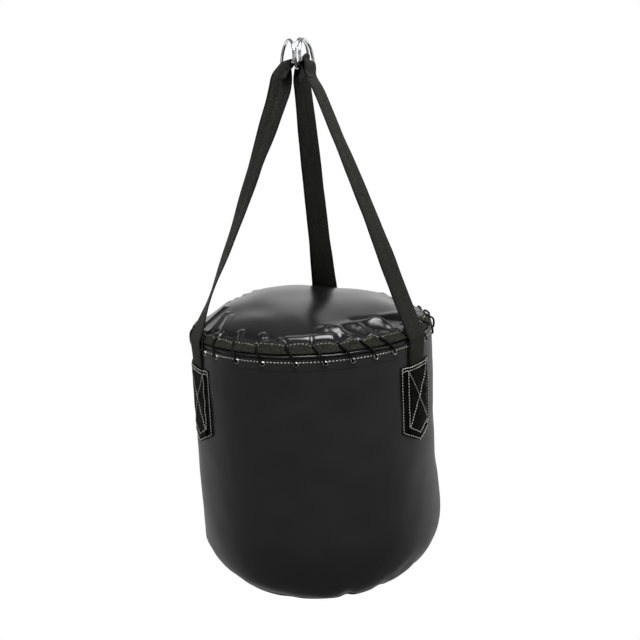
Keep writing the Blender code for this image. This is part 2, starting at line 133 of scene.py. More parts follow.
def colours(material, factor, stops):
    """Colour ramp through (position, hex) stops."""
    ramp = add_node(material, "ShaderNodeValToRGB", inputs={"Fac": factor}).color_ramp
    while len(ramp.elements) < len(stops):
        ramp.elements.new(0.5)
    for element, (position, code) in zip(ramp.elements, stops):
        element.position = position
        element.color = linear(code)
    return material.node_tree.nodes[-1].outputs["Color"]


def surface(material, inputs):
    """Principled surface with the given sockets, joined to the output."""
    shader = add_node(material, "ShaderNodeBsdfPrincipled", inputs=inputs)
    add_node(material, "ShaderNodeOutputMaterial", inputs={"Surface": shader.outputs["BSDF"]})
    return material


def add_piece(name, mesh, material, sharp=50):
    """Cleans the mesh, smooths it up to sharp degrees and puts it in the scene."""
    work = bmesh.new()
    work.from_mesh(mesh)
    bmesh.ops.remove_doubles(work, verts=work.verts, dist=2e-6)
    bmesh.ops.recalc_face_normals(work, faces=work.faces)
    work.to_mesh(mesh)
    work.free()
    mesh.shade_smooth()
    mesh.set_sharp_from_angle(angle=math.radians(sharp))
    mesh.materials.append(material)
    piece = bpy.data.objects.new(name, mesh)
    bpy.context.scene.collection.objects.link(piece)
    return piece


def grid_piece(name, points, material, closed=True, lengths=None, sharp=50):
    """Mesh over rows and columns of points. The last column joins the first, closed joins the last
    row to the first, and rows that shrink to a point or a line merge. lengths are metres along the
    rows and across the columns, one more than there are where the grid is joined."""
    rows, cols = points.shape[:2]
    i, j = np.meshgrid(np.arange(rows if closed else rows - 1), np.arange(cols), indexing="ij")
    i, j = i.ravel(), j.ravel()
    steps = ((0, 0), (0, 1), (1, 1), (1, 0))
    faces = np.stack([(i + a) % rows * cols + (j + b) % cols for a, b in steps], axis=-1)
    mesh = bpy.data.meshes.new(name)
    mesh.from_pydata(points.reshape(-1, 3).tolist(), [], faces.tolist())
    if lengths is not None:
        along, across = lengths
        corners = np.stack([np.stack([across[j + b], along[i + a]], axis=-1) for a, b in steps], axis=1)
        layer = mesh.uv_layers.new(name="metres")
        layer.data.foreach_set("uv", corners.astype(np.float32).ravel())
    return add_piece(name, mesh, material, sharp)


def subdivided(profile, step):
    """The same line with a point at least every step metres."""
    fine = []
    for (r0, z0), (r1, z1) in zip(profile, profile[1:]):
        parts = max(1, math.ceil(math.hypot(r1 - r0, z1 - z0) / step))
        fine += [(r0 + (r1 - r0) * k / parts, z0 + (z1 - z0) * k / parts) for k in range(parts)]
    return fine + [profile[-1]]


def turned_grid(profile, columns):
    """Rows of points round the bag's axis, one for each (radius, z) of the profile."""
    r, z = np.array(profile, float).T
    azimuth = np.arange(columns) * 360 / columns
    return at(azimuth[None, :], r[:, None], z[:, None])


# Open-cell polyether foam, cut from block: matt and grey, cells about 1 mm across; each cell's pit is painted
# darker, a painted shade.
foam = new_material("grey_polyether_foam_cut")
spot = add_node(foam, "ShaderNodeTexCoord").outputs["Object"]
cells = add_node(foam, "ShaderNodeTexVoronoi", inputs={"Vector": spot, "Scale": 900.0}).outputs["Distance"]
pits = add_node(foam, "ShaderNodeBump", inputs={"Height": cells, "Strength": 0.5, "Distance": 0.0005})
surface(foam, {"Base Color": colours(foam, cells, [(0, "#77777a"), (1, "#96969a")]), "Roughness": 0.95,
               "Specular IOR Level": 0.2, "Normal": pits.outputs["Normal"]})

# Torn textile offcuts, pressed together: matt, faded greys and browns in scraps about 25 mm across.
offcuts = new_material("packed_textile_offcuts")
spot = add_node(offcuts, "ShaderNodeTexCoord").outputs["Object"]
scraps = add_node(offcuts, "ShaderNodeTexVoronoi", inputs={"Vector": spot, "Scale": 40.0}).outputs["Distance"]
pile = add_node(offcuts, "ShaderNodeTexNoise", inputs={"Vector": spot, "Scale": 400.0}).outputs["Fac"]
fuzz = add_node(offcuts, "ShaderNodeBump", inputs={"Height": pile, "Strength": 0.5, "Distance": 0.001})
surface(offcuts, {"Base Color": colours(offcuts, scraps, [(0, "#8d8681"), (1, "#5f6066")]), "Roughness": 0.95,
                  "Normal": fuzz.outputs["Normal"]})

PAD_RADII = (0, 0.060, 0.100, 0.130, 0.1485)
PAD_DEPTH = 0.0030          # top pad below the outer face of the cover
DENT = 0.0015               # mean depth of the dents in the filling
# by solid: piece, material, its slot, how full it is packed, and its outline as (radius, z)
PACKED = {
    "foam_sleeve": ("foam_sleeve_roll", foam, "grey_foam", 1.0,
                    [(0.1679, -0.402), (0.1693, -0.530), (0.1705, -0.6414), (0.1629, -0.6414),
                     (0.1617, -0.530), (0.1603, -0.402), (0.1679, -0.402)]),
    "filling_core": ("textile_core", offcuts, "textile_filling", 0.9,
                     [(0, -0.3865), (0.1485, -0.3865), (0.1555, -0.402), (0.1590, -0.408),
                      (0.1616, -0.6414), (0.1534, -0.678), (0.1393, -0.706), (0.1270, -0.7150),
                      (0, -0.7150)]),
    "top_pad": ("top_foam_pad", foam, "grey_foam", 0.8,
                [(r, float(crown_z(r)) - PAD_DEPTH) for r in PAD_RADII] + [(0.1487, -0.3850), (0, -0.3850)]),
    "base_pad": ("base_foam_pad", foam, "grey_foam", 0.9,
                 [(0, -0.7164), (0.128, -0.7164), (0.128, -0.7305), (0, -0.7355)]),
}
for node, (name, material, finish, fill, outline) in PACKED.items():
    points = turned_grid(subdivided(outline, 0.006), 120)
    middle = points.mean(axis=(0, 1))
    dents = DENT * (1 + ripple(points, 0.03, 5))
    points += (middle - points) * dents[..., None]
    if node == "top_pad":
        azimuth = np.degrees(np.arctan2(points[..., 0], -points[..., 1]))
        radius = np.hypot(points[..., 0], points[..., 1])
        near_top = soft_step(points[..., 2], -0.384, -0.370)
        points[..., 2] -= sunk(azimuth) * soft_step(radius, 0.080, 0.150) * near_top
    piece = grid_piece(name, points, material, closed=node == "foam_sleeve")
    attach(piece, "bag")
    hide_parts(node)


# Side wall: one tube of PVC-coated polyester, closed by a covered seam at the back. The filling
# pushes it out unevenly, its hem is sewn down under the piping, and it is gathered to the bottom.
BAG_RADIUS = 0.170          # outside of the wall at its eyelets
WALL_SPREAD = 0.011         # the wall widens this much per metre downwards
SKIN = 0.0015               # coated fabric
WALL_TOP_Z = -0.3864
WALL_EYELET_Z = -0.393
CORNER_TOP_Z = -0.6414      # the wall turns in from here
CORNER_REACH = 0.0359
BOTTOM_Z = -0.733
HEM_STITCH_Z = -0.3906
HEM_STITCH_PITCH = 0.0046
HEM_STEP = 0.0003           # the folded hem stands out from the single fabric
STITCH_DIP = 0.0005         # and is drawn in by its stitches
EYELET_DIP = 0.0008         # by each eyelet
PATCH_DIP = 0.0006          # and by each sewn strap end
PATCH_MIDDLE_Z = -0.465
EYELETS = 30
EYELET_PITCH = 360 / EYELETS
FRONT_EYELET = 3.5          # azimuth of the eyelet nearest the front
# the eyelets at the front are punched unevenly: shift in degrees, by number from the front one
EYELET_SHIFT = {-4: -2.6, -3: -2.0, -2: -1.3, -1: 1.4, 0: 1.7, 1: 1.6, 2: 0.5, 3: -1.4}
STRAPS = {"left": -65.5, "right": 53.0, "back": 171.5}      # azimuth of each strap
# folds taken in at the bottom seam: azimuth, half width in degrees, how far the seam is drawn up
GATHERS = [(13, 3.2, 0.0034), (34, 3.8, 0.0024), (-19, 4.5, 0.0012)]
GATHERS += [(a, 3.5, 0.0016 + 0.0012 * math.sin(a)) for a in range(58, 330, 17)]
# where the filling has settled: azimuth, half width in degrees, height, half height, how far out
SWELLS = [
    (86, 28, -0.640, 0.040, 0.0042),
    (86, 30, -0.692, 0.036, 0.0085),
    (84, 24, -0.480, 0.040, 0.0018),
    (-84, 22, -0.690, 0.030, 0.0024),
    (-86, 24, -0.694, 0.012, 0.0034),
    (-64, 30, -0.724, 0.010, -0.0030),
]


def wall_radius(z):
    return BAG_RADIUS + WALL_SPREAD * (WALL_EYELET_Z - z)


def wall_eyelet(number):
    """Azimuth of an eyelet in the wall, numbered from the front one."""
    half = EYELETS // 2
    return FRONT_EYELET + number * EYELET_PITCH + EYELET_SHIFT.get((number + half) % EYELETS - half, 0)


def gather(azimuth):
    """How far the bottom seam is drawn up by the folds taken in there."""
    return sum(h * np.exp(-(turn_between(azimuth, a) / w) ** 2) for a, w, h in GATHERS)


def spot_row(azimuth, z, centres, centre_z, reach):
    """1 at each of a row of spots on the wall, fading over reach metres."""
    total = 0
    for centre in centres:
        d2 = (np.radians(turn_between(azimuth, centre)) * BAG_RADIUS) ** 2 + (z - centre_z) ** 2
        total = total + np.exp(-d2 / reach ** 2)
    return total


def wall_push(azimuth, z, points):
    """How far the wall stands out from its even shape."""
    free = soft_step(-z, 0.395, 0.440)
    push = free * (0.0009 * ripple(points, 0.13, 3) + 0.0003 * ripple(points, 0.05, 4))
    push += 0.0006 * soft_step(-z, 0.66, 0.72) * ripple(points, 0.035, 8)
    for swollen, wide, height, tall, out in SWELLS:
        push += out * np.exp(-(turn_between(azimuth, swollen) / wide) ** 2 - ((z - height) / tall) ** 2)
    push += HEM_STEP * soft_step(z, -0.4025, -0.4010)
    push -= STITCH_DIP * np.exp(-((z - HEM_STITCH_Z) / 0.0011) ** 2)
    push -= EYELET_DIP * spot_row(azimuth, z, map(wall_eyelet, range(EYELETS)), WALL_EYELET_Z, 0.0055)
    push -= PATCH_DIP * spot_row(azimuth, z, STRAPS.values(), PATCH_MIDDLE_Z, 0.045)
    return push


# outline of the tube: down the hem and the side, round the corner, and back up inside
corner_r = wall_radius(CORNER_TOP_Z) - CORNER_REACH
corner_h = CORNER_TOP_Z - BOTTOM_Z
turns = np.linspace(0, math.pi / 2, 25)
hem = [(wall_radius(z), z) for z in np.linspace(WALL_TOP_Z, -0.4045, 22)]
side = [(wall_radius(z), z) for z in np.linspace(-0.408, CORNER_TOP_Z, 62)]
corner = [(corner_r + CORNER_REACH * math.cos(t), CORNER_TOP_Z - corner_h * math.sin(t)) for t in turns[1:]]
inside = [(corner_r + (CORNER_REACH - SKIN) * math.cos(t), CORNER_TOP_Z - (corner_h - SKIN) * math.sin(t))
          for t in turns[::-3]]
inside += [(wall_radius(z) - SKIN, z) for z in (-0.60, -0.55, -0.50, -0.45, -0.41, -0.395, WALL_TOP_Z)]
outline = np.array(hem + side + corner + inside)
WALL_COLUMNS = 720
azimuth = (np.arange(WALL_COLUMNS) * 360 / WALL_COLUMNS)[None, :]
r, z = outline[:, :1], outline[:, 1:]
way = np.gradient(outline[:len(hem + side + corner)], axis=0)
way /= np.linalg.norm(way, axis=1, keepdims=True)
normals = np.concatenate([np.stack([-way[:, 1], way[:, 0]], axis=1),
                          np.repeat([[1.0, 0.0]], len(inside), axis=0)])
points = at(azimuth, r, z)
push = wall_push(azimuth, z, points)
lift = gather(azimuth) * soft_step(-z, 0.702, 0.733) - sunk(azimuth) * soft_step(z, -0.440, -0.400)
points = at(azimuth, r + push * normals[:, :1], z + push * normals[:, 1:] + lift)

# PVC-coated polyester, embossed: black, satin; the emboss is a fine leather grain of about 1.2 mm.
vinyl = new_material("black_coated_vinyl_satin")
spot = add_node(vinyl, "ShaderNodeTexCoord").outputs["Object"]
grain = add_node(vinyl, "ShaderNodeTexVoronoi", {"feature": "DISTANCE_TO_EDGE"},
                 {"Vector": spot, "Scale": 800.0}).outputs["Distance"]
handling = add_node(vinyl, "ShaderNodeTexNoise",
                    inputs={"Vector": spot, "Scale": 9.0, "Detail": 4.0}).outputs["Fac"]
sheen = add_node(vinyl, "ShaderNodeMapRange", inputs={"Value": handling, "To Min": 0.40, "To Max": 0.52})
emboss = add_node(vinyl, "ShaderNodeBump", inputs={"Height": grain, "Strength": 0.12, "Distance": 0.0003})
surface(vinyl, {"Base Color": colours(vinyl, handling, [(0.2, "#2d2d2e"), (0.8, "#353536")]),
                "Roughness": sheen.outputs["Result"], "IOR": 1.45, "Specular IOR Level": 0.22,
                "Normal": emboss.outputs["Normal"]})
wall = grid_piece("wall_tube", points, vinyl, sharp=80)
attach(wall, "bag")
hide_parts("side_wall")


def stitches(name, rows, material, pitch, length, width, height=0.0006):
    """Thread lying in stitches along rows of (points, normals), each a half-sunk bead."""
    sides, rings = 6, 5
    look_ahead = 0.0005
    bead = []
    for k in range(rings):
        swell = math.sin(math.pi * (k + 0.5) / rings) ** 0.5
        bead += [(length * (k / (rings - 1) - 0.5), swell * width / 2 * math.cos(math.tau * s / sides),
                  swell * height * math.sin(math.tau * s / sides)) for s in range(sides)]
    bead = np.array(bead)
    quads = [(k * sides + s, k * sides + (s + 1) % sides,
              (k + 1) * sides + (s + 1) % sides, (k + 1) * sides + s)
             for k in range(rings - 1) for s in range(sides)]
    ends = [tuple(range(sides))[::-1], tuple(range((rings - 1) * sides, rings * sides))]
    verts, faces = [], []
    for line, outs in rows:
        line, outs = np.asarray(line, float), np.asarray(outs, float)
        run = np.concatenate([[0], np.cumsum(np.linalg.norm(np.diff(line, axis=0), axis=1))])
        count = max(1, round(run[-1] / pitch))
        for s in (np.arange(count) + 0.5) * run[-1] / count:
            place = np.array([np.interp(s, run, line[:, c]) for c in range(3)])
            ahead = np.array([np.interp(s + look_ahead, run, line[:, c]) for c in range(3)])
            out = np.array([np.interp(s, run, outs[:, c]) for c in range(3)])
            along = ahead - place
            along /= np.linalg.norm(along)
            aside = np.cross(out, along)
            aside /= np.linalg.norm(aside)
            base = len(verts) * len(bead)
            verts.append(place + bead[:, :1] * along + bead[:, 1:2] * aside
                         + bead[:, 2:] * np.cross(along, aside))
            faces += [tuple(base + v for v in face) for face in quads + ends]
    mesh = bpy.data.meshes.new(name)
    mesh.from_pydata(np.concatenate(verts).tolist(), [], faces)
    return add_piece(name, mesh, material)


def sewing_thread(name, stops, twists, roughness):
    """Bonded polyester thread, twisted: a soft sheen over strands, with so many twists in a metre."""
    thread = new_material(name)
    spot = add_node(thread, "ShaderNodeTexCoord").outputs["Object"]
    strands = add_node(thread, "ShaderNodeTexNoise", inputs={"Vector": spot, "Scale": twists}).outputs["Fac"]
    twist = add_node(thread, "ShaderNodeBump",
                     inputs={"Height": strands, "Strength": 0.3, "Distance": 0.0003})
    return surface(thread, {"Base Color": colours(thread, strands, stops), "Roughness": roughness,
                            "Normal": twist.outputs["Normal"]})


# Pale grey thread, twisted about once a millimetre, that stands out clearly against the vinyl.
pale_thread = sewing_thread("pale_polyester_thread_twisted", [(0.3, "#b4b4ac"), (0.7, "#e4e4dc")],
                            twists=900.0, roughness=0.6)


def ring_line(radius, z):
    """Points all round at one height, with their outward normals."""
    azimuth = np.linspace(0, 360, 361)
    return at(azimuth, radius, z - sunk(azimuth)), at(azimuth, 1.0, 0.0)


THREAD_SUNK = 0.0001        # stitches lie this deep in the fabric
hem_row = ring_line(wall_radius(HEM_STITCH_Z) - THREAD_SUNK, HEM_STITCH_Z)
piece = stitches("hem_stitches", [hem_row], pale_thread, HEM_STITCH_PITCH, length=0.0023, width=0.0017,
                 height=0.0009)
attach(piece, "bag")

# Seam cover: a folded strip of the same vinyl over the upright seam at the back, sewn on with a
# line of black stitches near each edge.
SEAM_AZIMUTH = 150.0
SEAM_HALF = 0.009           # half width of the strip
SEAM_PROUD = 0.0015
SEAM_GAP = 0.0002           # clear of the wall
SEAM_STITCH_X = 0.0065      # each line of stitches from the middle of the strip


def sheet_rows(face, back, ends):
    """Rows of points round a sheet between its two faces, shut by the first and last rows of ends."""
    rows = np.concatenate([face, back[:, -2:0:-1]], axis=1)
    caps = [np.concatenate([end, end[:, -2:0:-1]], axis=1) for end in (ends[:1], ends[-1:])]
    return np.concatenate([caps[0], rows, caps[1]])


z = np.linspace(-0.4035, -0.639, 70)[:, None]
x = np.linspace(-1, 1, 17)[None, :]
rise = SEAM_PROUD * (1 - np.abs(x) ** 8) ** 0.5 + 0.0002 * ripple(at(x * 3, 0.17, z), 0.02, 6)
rise -= 0.0004 * np.exp(-((np.abs(x) - 0.72) / 0.1) ** 2)
edge_x = np.degrees(x * SEAM_HALF / wall_radius(z))
top = at(SEAM_AZIMUTH + edge_x, wall_radius(z) + 0.0003 + np.clip(rise, 0, None), z)
under = at(SEAM_AZIMUTH + edge_x, wall_radius(z) + SEAM_GAP, z)
piece = grid_piece("seam_cover", sheet_rows(top, under, under), vinyl, closed=False)
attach(piece, "bag")
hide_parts("side_seam")

# The same thread in black: a little smoother, it shows on the black strip by its sheen alone.
black_thread = sewing_thread("black_polyester_thread_twisted", [(0.3, "#101010"), (0.7, "#262624")],
                             twists=900.0, roughness=0.55)
z = np.linspace(-0.4045, -0.638, 60)
rows = [(at(SEAM_AZIMUTH + np.degrees(x / wall_radius(z)), wall_radius(z) + SEAM_PROUD - THREAD_SUNK, z),
         np.repeat(at(SEAM_AZIMUTH, 1.0, 0.0)[None], len(z), axis=0))
        for x in (-SEAM_STITCH_X, SEAM_STITCH_X)]
piece = stitches("seam_cover_stitches", rows, black_thread, HEM_STITCH_PITCH, length=0.0032, width=0.0010)
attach(piece, "bag")


# Bottom: a disc of the same vinyl, pushed flat in the middle by the filling, sewn to the gathered
# wall with a thin piped welt in the seam that rides up over each fold.
PANEL_FLAT_Z = -0.7385
PANEL_EDGE_R = 0.1362
WELT_R = 0.1368
WELT_Z = -0.7357
WELT_RADIUS = 0.0018
CRUMPLE = 0.0007            # unevenness of the panel
PLEATS = 21                 # radial puckers round its edge
PLEAT_DEPTH = 0.0010
columns = 480
azimuth = (np.arange(columns) * 360 / columns)[None, :]
r = np.concatenate([np.linspace(0, 0.118, 24), np.linspace(0.121, PANEL_EDGE_R, 12)])[:, None]
even = PANEL_FLAT_Z + 0.0003 + 0.0045 * soft_step(r, 0.050, PANEL_EDGE_R + 0.020)
points = at(azimuth, r, even)
crumple = CRUMPLE * ripple(points, 0.045, 11) * soft_step(r, 0.0, 0.05)
pleats = PLEAT_DEPTH * np.cos(np.radians(azimuth) * PLEATS + 2 * np.sin(np.radians(azimuth) * 4))
lift = np.clip(crumple + pleats * soft_step(r, 0.09, 0.133) + 0.0003, 0, None)
lift = lift * soft_step(-r, -PANEL_EDGE_R, -0.132)
points[..., 2] += lift + gather(azimuth) * soft_step(r, 0.105, PANEL_EDGE_R)
inner = points[::-1] + np.array([0, 0, SKIN])
piece = grid_piece("bottom_disc", np.concatenate([points, inner]), vinyl, closed=True, sharp=80)
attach(piece, "bag")
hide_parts("bottom_panel")


def swept_grid(path, radius, sides, loop):
    """Rows of points round a path, and the metres along and round it."""
    path = np.asarray(path, float)
    ahead = np.roll(path, -1, axis=0) - np.roll(path, 1, axis=0) if loop else np.gradient(path, axis=0)
    ahead /= np.linalg.norm(ahead, axis=1, keepdims=True)
    first = np.cross(ahead[0], (0.3, 0.5, 0.8))
    first /= np.linalg.norm(first)
    firsts = [first]
    for way in ahead[1:]:
        first = first - way * (first @ way)
        first = first / np.linalg.norm(first)
        firsts.append(first)
    firsts = np.array(firsts)
    seconds = np.cross(ahead, firsts)
    if loop:        # share out the turn that the frame has gained on the way round
        gained = math.atan2(firsts[0] @ seconds[-1], firsts[0] @ firsts[-1])
        share = (np.arange(len(path)) / len(path) * gained)[:, None]
        firsts, seconds = (firsts * np.cos(share) + seconds * np.sin(share),
                           seconds * np.cos(share) - firsts * np.sin(share))
    t = (np.arange(sides) * math.tau / sides)[None, :, None]
    radii = np.broadcast_to(np.asarray(radius, float), (len(path),))[:, None, None]
    points = path[:, None] + radii * (np.cos(t) * firsts[:, None] + np.sin(t) * seconds[:, None])
    if not loop:    # close both ends
        points = np.concatenate([np.repeat(path[:1, None], sides, axis=1), points,
                                 np.repeat(path[-1:, None], sides, axis=1)])
    line = np.concatenate([path, path[:1]]) if loop else np.concatenate([path[:1], path, path[-1:]])
    along = np.concatenate([[0], np.cumsum(np.linalg.norm(np.diff(line, axis=0), axis=1))])
    across = np.linspace(0, math.tau * float(np.mean(radius)), sides + 1)
    return points, (along, across)


azimuth = np.arange(360)
path = at(azimuth, WELT_R + 0.0003 * np.sin(np.radians(azimuth * 7)), WELT_Z + gather(azimuth))
points, lengths = swept_grid(path, WELT_RADIUS, 10, loop=True)
piece = grid_piece("bottom_welt_cord", points, vinyl, lengths=lengths)
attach(piece, "bag")
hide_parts("bottom_welt")


# Top cover: a disc of glossy PVC-coated fabric over the foam pad. The lacing pulls its edge down at
# thirty eyelets, so it puffs up between them and long soft folds run in from the rim.
COVER_EYELET_R = 0.161
# each cover eyelet sits this many degrees before its wall eyelet: a mean, and more to the right
LAG_MEAN = 4.9
LAG_SWING = 3.2
COVER_COLUMNS = 720
PUFF_R = 0.1600             # the cover puffs up between its eyelets here, where the binding begins
# large folds, by the line of the crest as (azimuth, radius), half width and height
FOLDS = [
    ([(8, 0.134), (22, 0.127), (34, 0.129), (41, 0.137)], 0.0085, 0.0046),
    ([(39, 0.130), (43.5, 0.145), (44.5, 0.160)], 0.0070, 0.0042),
    ([(28.8, 0.116), (43.0, 0.125), (56.3, 0.145)], 0.0060, -0.0022),
    ([(15.0, 0.138), (19.0, 0.160)], 0.0056, 0.0034),
    ([(27.3, 0.138), (29.4, 0.160)], 0.0056, 0.0038),
    ([(48.9, 0.126), (65.5, 0.140)], 0.0065, 0.0022),
    ([(75.2, 0.155), (71.6, 0.167)], 0.0060, 0.0020),
    ([(-15, 0.151), (-4, 0.149), (10, 0.148)], 0.0038, 0.0021),
    ([(-23, 0.160), (-26, 0.144)], 0.0044, 0.0028),
    ([(-36, 0.160), (-40, 0.142)], 0.0044, 0.0030),
    ([(-74, 0.155), (-90, 0.122)], 0.0045, 0.0026),
    ([(-60, 0.154), (-76, 0.122)], 0.0045, 0.0028),
    ([(-51, 0.154), (-67, 0.121)], 0.0045, 0.0022),
]
FOLDS += [([(a, 0.158), (a + 9 * math.sin(a), 0.126)], 0.0050, 0.0020) for a in range(86, 262, 13)]
# where the foam pad stands fuller or flatter under the cover: x, y, reach, height
CROWN_SWELLS = [(-0.072, 0.080, 0.068, 0.0066), (0.045, 0.100, 0.040, -0.0026)]
CREASE_DEPTH = 0.0015       # of the short crease that runs in from each eyelet
PUFF_HEIGHT = 0.0024        # of the cover between two eyelets
PUFF_SUNK = 0.0008          # and its depth at them


def cover_eyelet(number):
    """Azimuth of an eyelet in the cover."""
    azimuth = wall_eyelet(number)
    return azimuth - LAG_MEAN - LAG_SWING * math.sin(math.radians(azimuth))


def ridge(x, y, line, width):
    """1 on a line of (azimuth, radius) points, fading over width to its sides and ends."""
    spots = at(*np.array(line, float).T, 0.0)[:, :2]
    nearest = np.full(x.shape, 1.0)
    for (ax, ay), (bx, by) in zip(spots, spots[1:]):
        dx, dy = bx - ax, by - ay
        t = np.clip(((x - ax) * dx + (y - ay) * dy) / (dx * dx + dy * dy), 0, 1)
        nearest = np.minimum(nearest, np.hypot(x - ax - t * dx, y - ay - t * dy))
    return np.exp(-(nearest / width) ** 2)


def puff(azimuth):
    """0 at each cover eyelet, 1 half way between."""
    half = EYELETS // 2
    marks = np.array([cover_eyelet(n) for n in range(-half, half + 2)])
    share = np.interp((azimuth + 165) % 360 - 165, marks, np.arange(len(marks)))
    return np.abs(np.sin(share * math.pi))


def cover_push(azimuth, r, points):
    """How far the cover stands out from its even shape."""
    x, y = points[..., 0], points[..., 1]
    push = -sunk(azimuth) * soft_step(r, 0.118, 0.158)
    push = push + 0.0012 * soft_step(r, 0.02, 0.10) * ripple(points, 0.09, 21)
    within = soft_step(-r, -0.158, -0.125)
    for sx, sy, reach, height in CROWN_SWELLS:
        push = push + height * np.exp(-((x - sx) ** 2 + (y - sy) ** 2) / reach ** 2) * within
    for line, width, height in FOLDS:
        push = push + height * ridge(x, y, line, width)
    near = np.exp(-((r - PUFF_R) / 0.0055) ** 2)
    push = push + near * (PUFF_HEIGHT * puff(azimuth) ** 0.7 - PUFF_SUNK)
    for number in range(EYELETS):
        mark = cover_eyelet(number)
        inner = mark + 4.0 * math.sin(number * 2.3)
        push = push - CREASE_DEPTH * ridge(x, y, [(mark, COVER_EYELET_R - 0.003), (inner, 0.149)], 0.0028)
    edge = soft_step(r, 0.1620, 0.1670)
    return push * (1 - edge) - (0.0002 + sunk(azimuth)) * edge


azimuth = (np.arange(COVER_COLUMNS) * 360 / COVER_COLUMNS)[None, :]
r = np.concatenate([np.linspace(0, 0.080, 14), np.linspace(0.083, 0.140, 30),
                    np.linspace(0.1415, COVER_EDGE_R, 26)])[:, None]
points = at(azimuth, r, crown_z(r))
points[..., 2] += cover_push(azimuth, r, points)
slope = np.gradient(crown_z(r[:, 0]), r[:, 0])[:, None]
tilt = np.hypot(slope, 1)
inner = at(azimuth, r + SKIN * slope / tilt, points[..., 2] - SKIN / tilt)[::-2]
inner[-1] = inner[-1].mean(axis=0)

# The same coated fabric with a glossy top coat: black, with a clear reflection; no emboss, but the
# base cloth shows as a soft unevenness about 6 mm across.
gloss = new_material("black_coated_vinyl_glossy")
spot = add_node(gloss, "ShaderNodeTexCoord").outputs["Object"]
cloth = add_node(gloss, "ShaderNodeTexNoise",
                 inputs={"Vector": spot, "Scale": 160.0, "Detail": 2.0}).outputs["Fac"]
handling = add_node(gloss, "ShaderNodeTexNoise",
                    inputs={"Vector": spot, "Scale": 14.0, "Detail": 5.0}).outputs["Fac"]
sheen = add_node(gloss, "ShaderNodeMapRange", inputs={"Value": handling, "To Min": 0.21, "To Max": 0.29})
skin_bump = add_node(gloss, "ShaderNodeBump", inputs={"Height": cloth, "Strength": 0.10, "Distance": 0.0006})
surface(gloss, {"Base Color": colours(gloss, handling, [(0.2, "#0e0e0f"), (0.8, "#161617")]),
                "Roughness": sheen.outputs["Result"], "IOR": 1.46, "Normal": skin_bump.outputs["Normal"]})
cover = grid_piece("laced_cover", np.concatenate([points, inner]), gloss, closed=True, sharp=80)
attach(cover, "bag")
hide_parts("top_cover")


# Binding: black woven tape sewn over the cover's edge with one row of pale stitches; the tape is
# drawn down at each lacing hole and arches up between them.
BINDING_THICK = 0.0010
BINDING_LIFT = 0.0004       # clear of the cover
BINDING_WIDTH = 0.0100      # each half of the folded tape
BINDING_WAVE = 0.0022       # its inner edge swings this much between the eyelets
BINDING_STITCH_ROW = 2      # the stitches run along this row of points of the tape


def crown_slope(r, nudge):
    """Slope of the cover's even face, from the heights nudge metres to either side."""
    return (crown_z(r + nudge) - crown_z(r - nudge)) / (2 * nudge)


share = np.linspace(0, 1, 9)[:, None]
azimuth = (np.arange(COVER_COLUMNS) * 360 / COVER_COLUMNS)[None, :]
start_r = PUFF_R + BINDING_WAVE / 2 - BINDING_WAVE * puff(azimuth) ** 0.7
r = start_r + (COVER_EDGE_R - start_r) * share
base = at(azimuth, r, crown_z(r))
base[..., 2] += cover_push(azimuth, r, base)
slope = crown_slope(r, 0.0001)
tilt = np.hypot(slope, 1)
normal = at(azimuth, -slope / tilt, 1 / tilt)
swell = 0.0004 * ripple(base, 0.012, 31) * np.sin(math.pi * share)
outer = base + normal * (BINDING_LIFT + BINDING_THICK * (1 - (2 * share - 1) ** 8) ** 0.5 + swell)[..., None]
inner = base + normal * BINDING_LIFT
lengths = (np.concatenate([share[:, 0], share[::-1, 0], share[:1, 0]]) * BINDING_WIDTH,
           np.arange(COVER_COLUMNS + 1) * math.tau * COVER_EDGE_R / COVER_COLUMNS)


NO_EDGE_SHADE = 9.0           # metres, wider than any tape
EDGE_SHADE_FADE = 0.0014


def woven(name, dark, light, pitch, depth, roughness, edge=NO_EDGE_SHADE):
    """Woven tape: herringbone ribs of the given pitch, over metres across (u) and along (v). The colour is
    painted shade, dark in the grooves and light on the crests of the ribs, with yarn specks at random;
    beyond edge metres from its middle it is painted black, a painted shade along the rounded edges."""
    tape = new_material(name)
    metres = add_node(tape, "ShaderNodeUVMap", {"uv_map": "metres"}).outputs["UV"]
    axes = add_node(tape, "ShaderNodeSeparateXYZ", inputs={"Vector": metres})
    x, y = axes.outputs["X"], axes.outputs["Y"]
    zigzag = add_node(tape, "ShaderNodeMath", {"operation": "PINGPONG"}, {0: x, 1: 4 * pitch}).outputs[0]
    slant = add_node(tape, "ShaderNodeMath", {"operation": "ADD"}, {0: y, 1: zigzag}).outputs[0]
    turns = add_node(tape, "ShaderNodeMath", {"operation": "MULTIPLY"}, {0: slant, 1: math.tau / pitch})
    ribs = add_node(tape, "ShaderNodeMath", {"operation": "SINE"}, {0: turns.outputs[0]}).outputs[0]
    spot = add_node(tape, "ShaderNodeTexCoord").outputs["Object"]
    yarn = add_node(tape, "ShaderNodeTexNoise",
                    inputs={"Vector": spot, "Scale": 420.0, "Detail": 2.0}).outputs["Fac"]
    height = add_node(tape, "ShaderNodeMath", {"operation": "MULTIPLY_ADD"},
                      {0: ribs, 1: 0.25, 2: yarn}).outputs[0]
    weave = add_node(tape, "ShaderNodeBump", inputs={"Height": height, "Strength": 0.8, "Distance": depth})
    # painted shade: dark in the grooves between the ribs, light on their crests, with yarn specks at random
    shaded_tone = colours(tape, height, [(0.40, dark), (0.66, light)])
    aside = add_node(tape, "ShaderNodeMath", {"operation": "ABSOLUTE"}, {0: x}).outputs[0]
    # painted shade: black along the rounded edges of the tape
    edge_shade = add_node(tape, "ShaderNodeMapRange",
                        inputs={"Value": aside, "From Min": edge, "From Max": edge + EDGE_SHADE_FADE})
    shaded_tone = add_node(tape, "ShaderNodeMix", {"data_type": "RGBA"},
                    {0: edge_shade.outputs["Result"], 6: shaded_tone, 7: linear("#050505")}).outputs[2]
    return surface(tape, {"Base Color": shaded_tone, "Roughness": roughness, "Normal": weave.outputs["Normal"],
                          "Specular IOR Level": 0.15, "Sheen Weight": 0.02, "Sheen Roughness": 0.4})
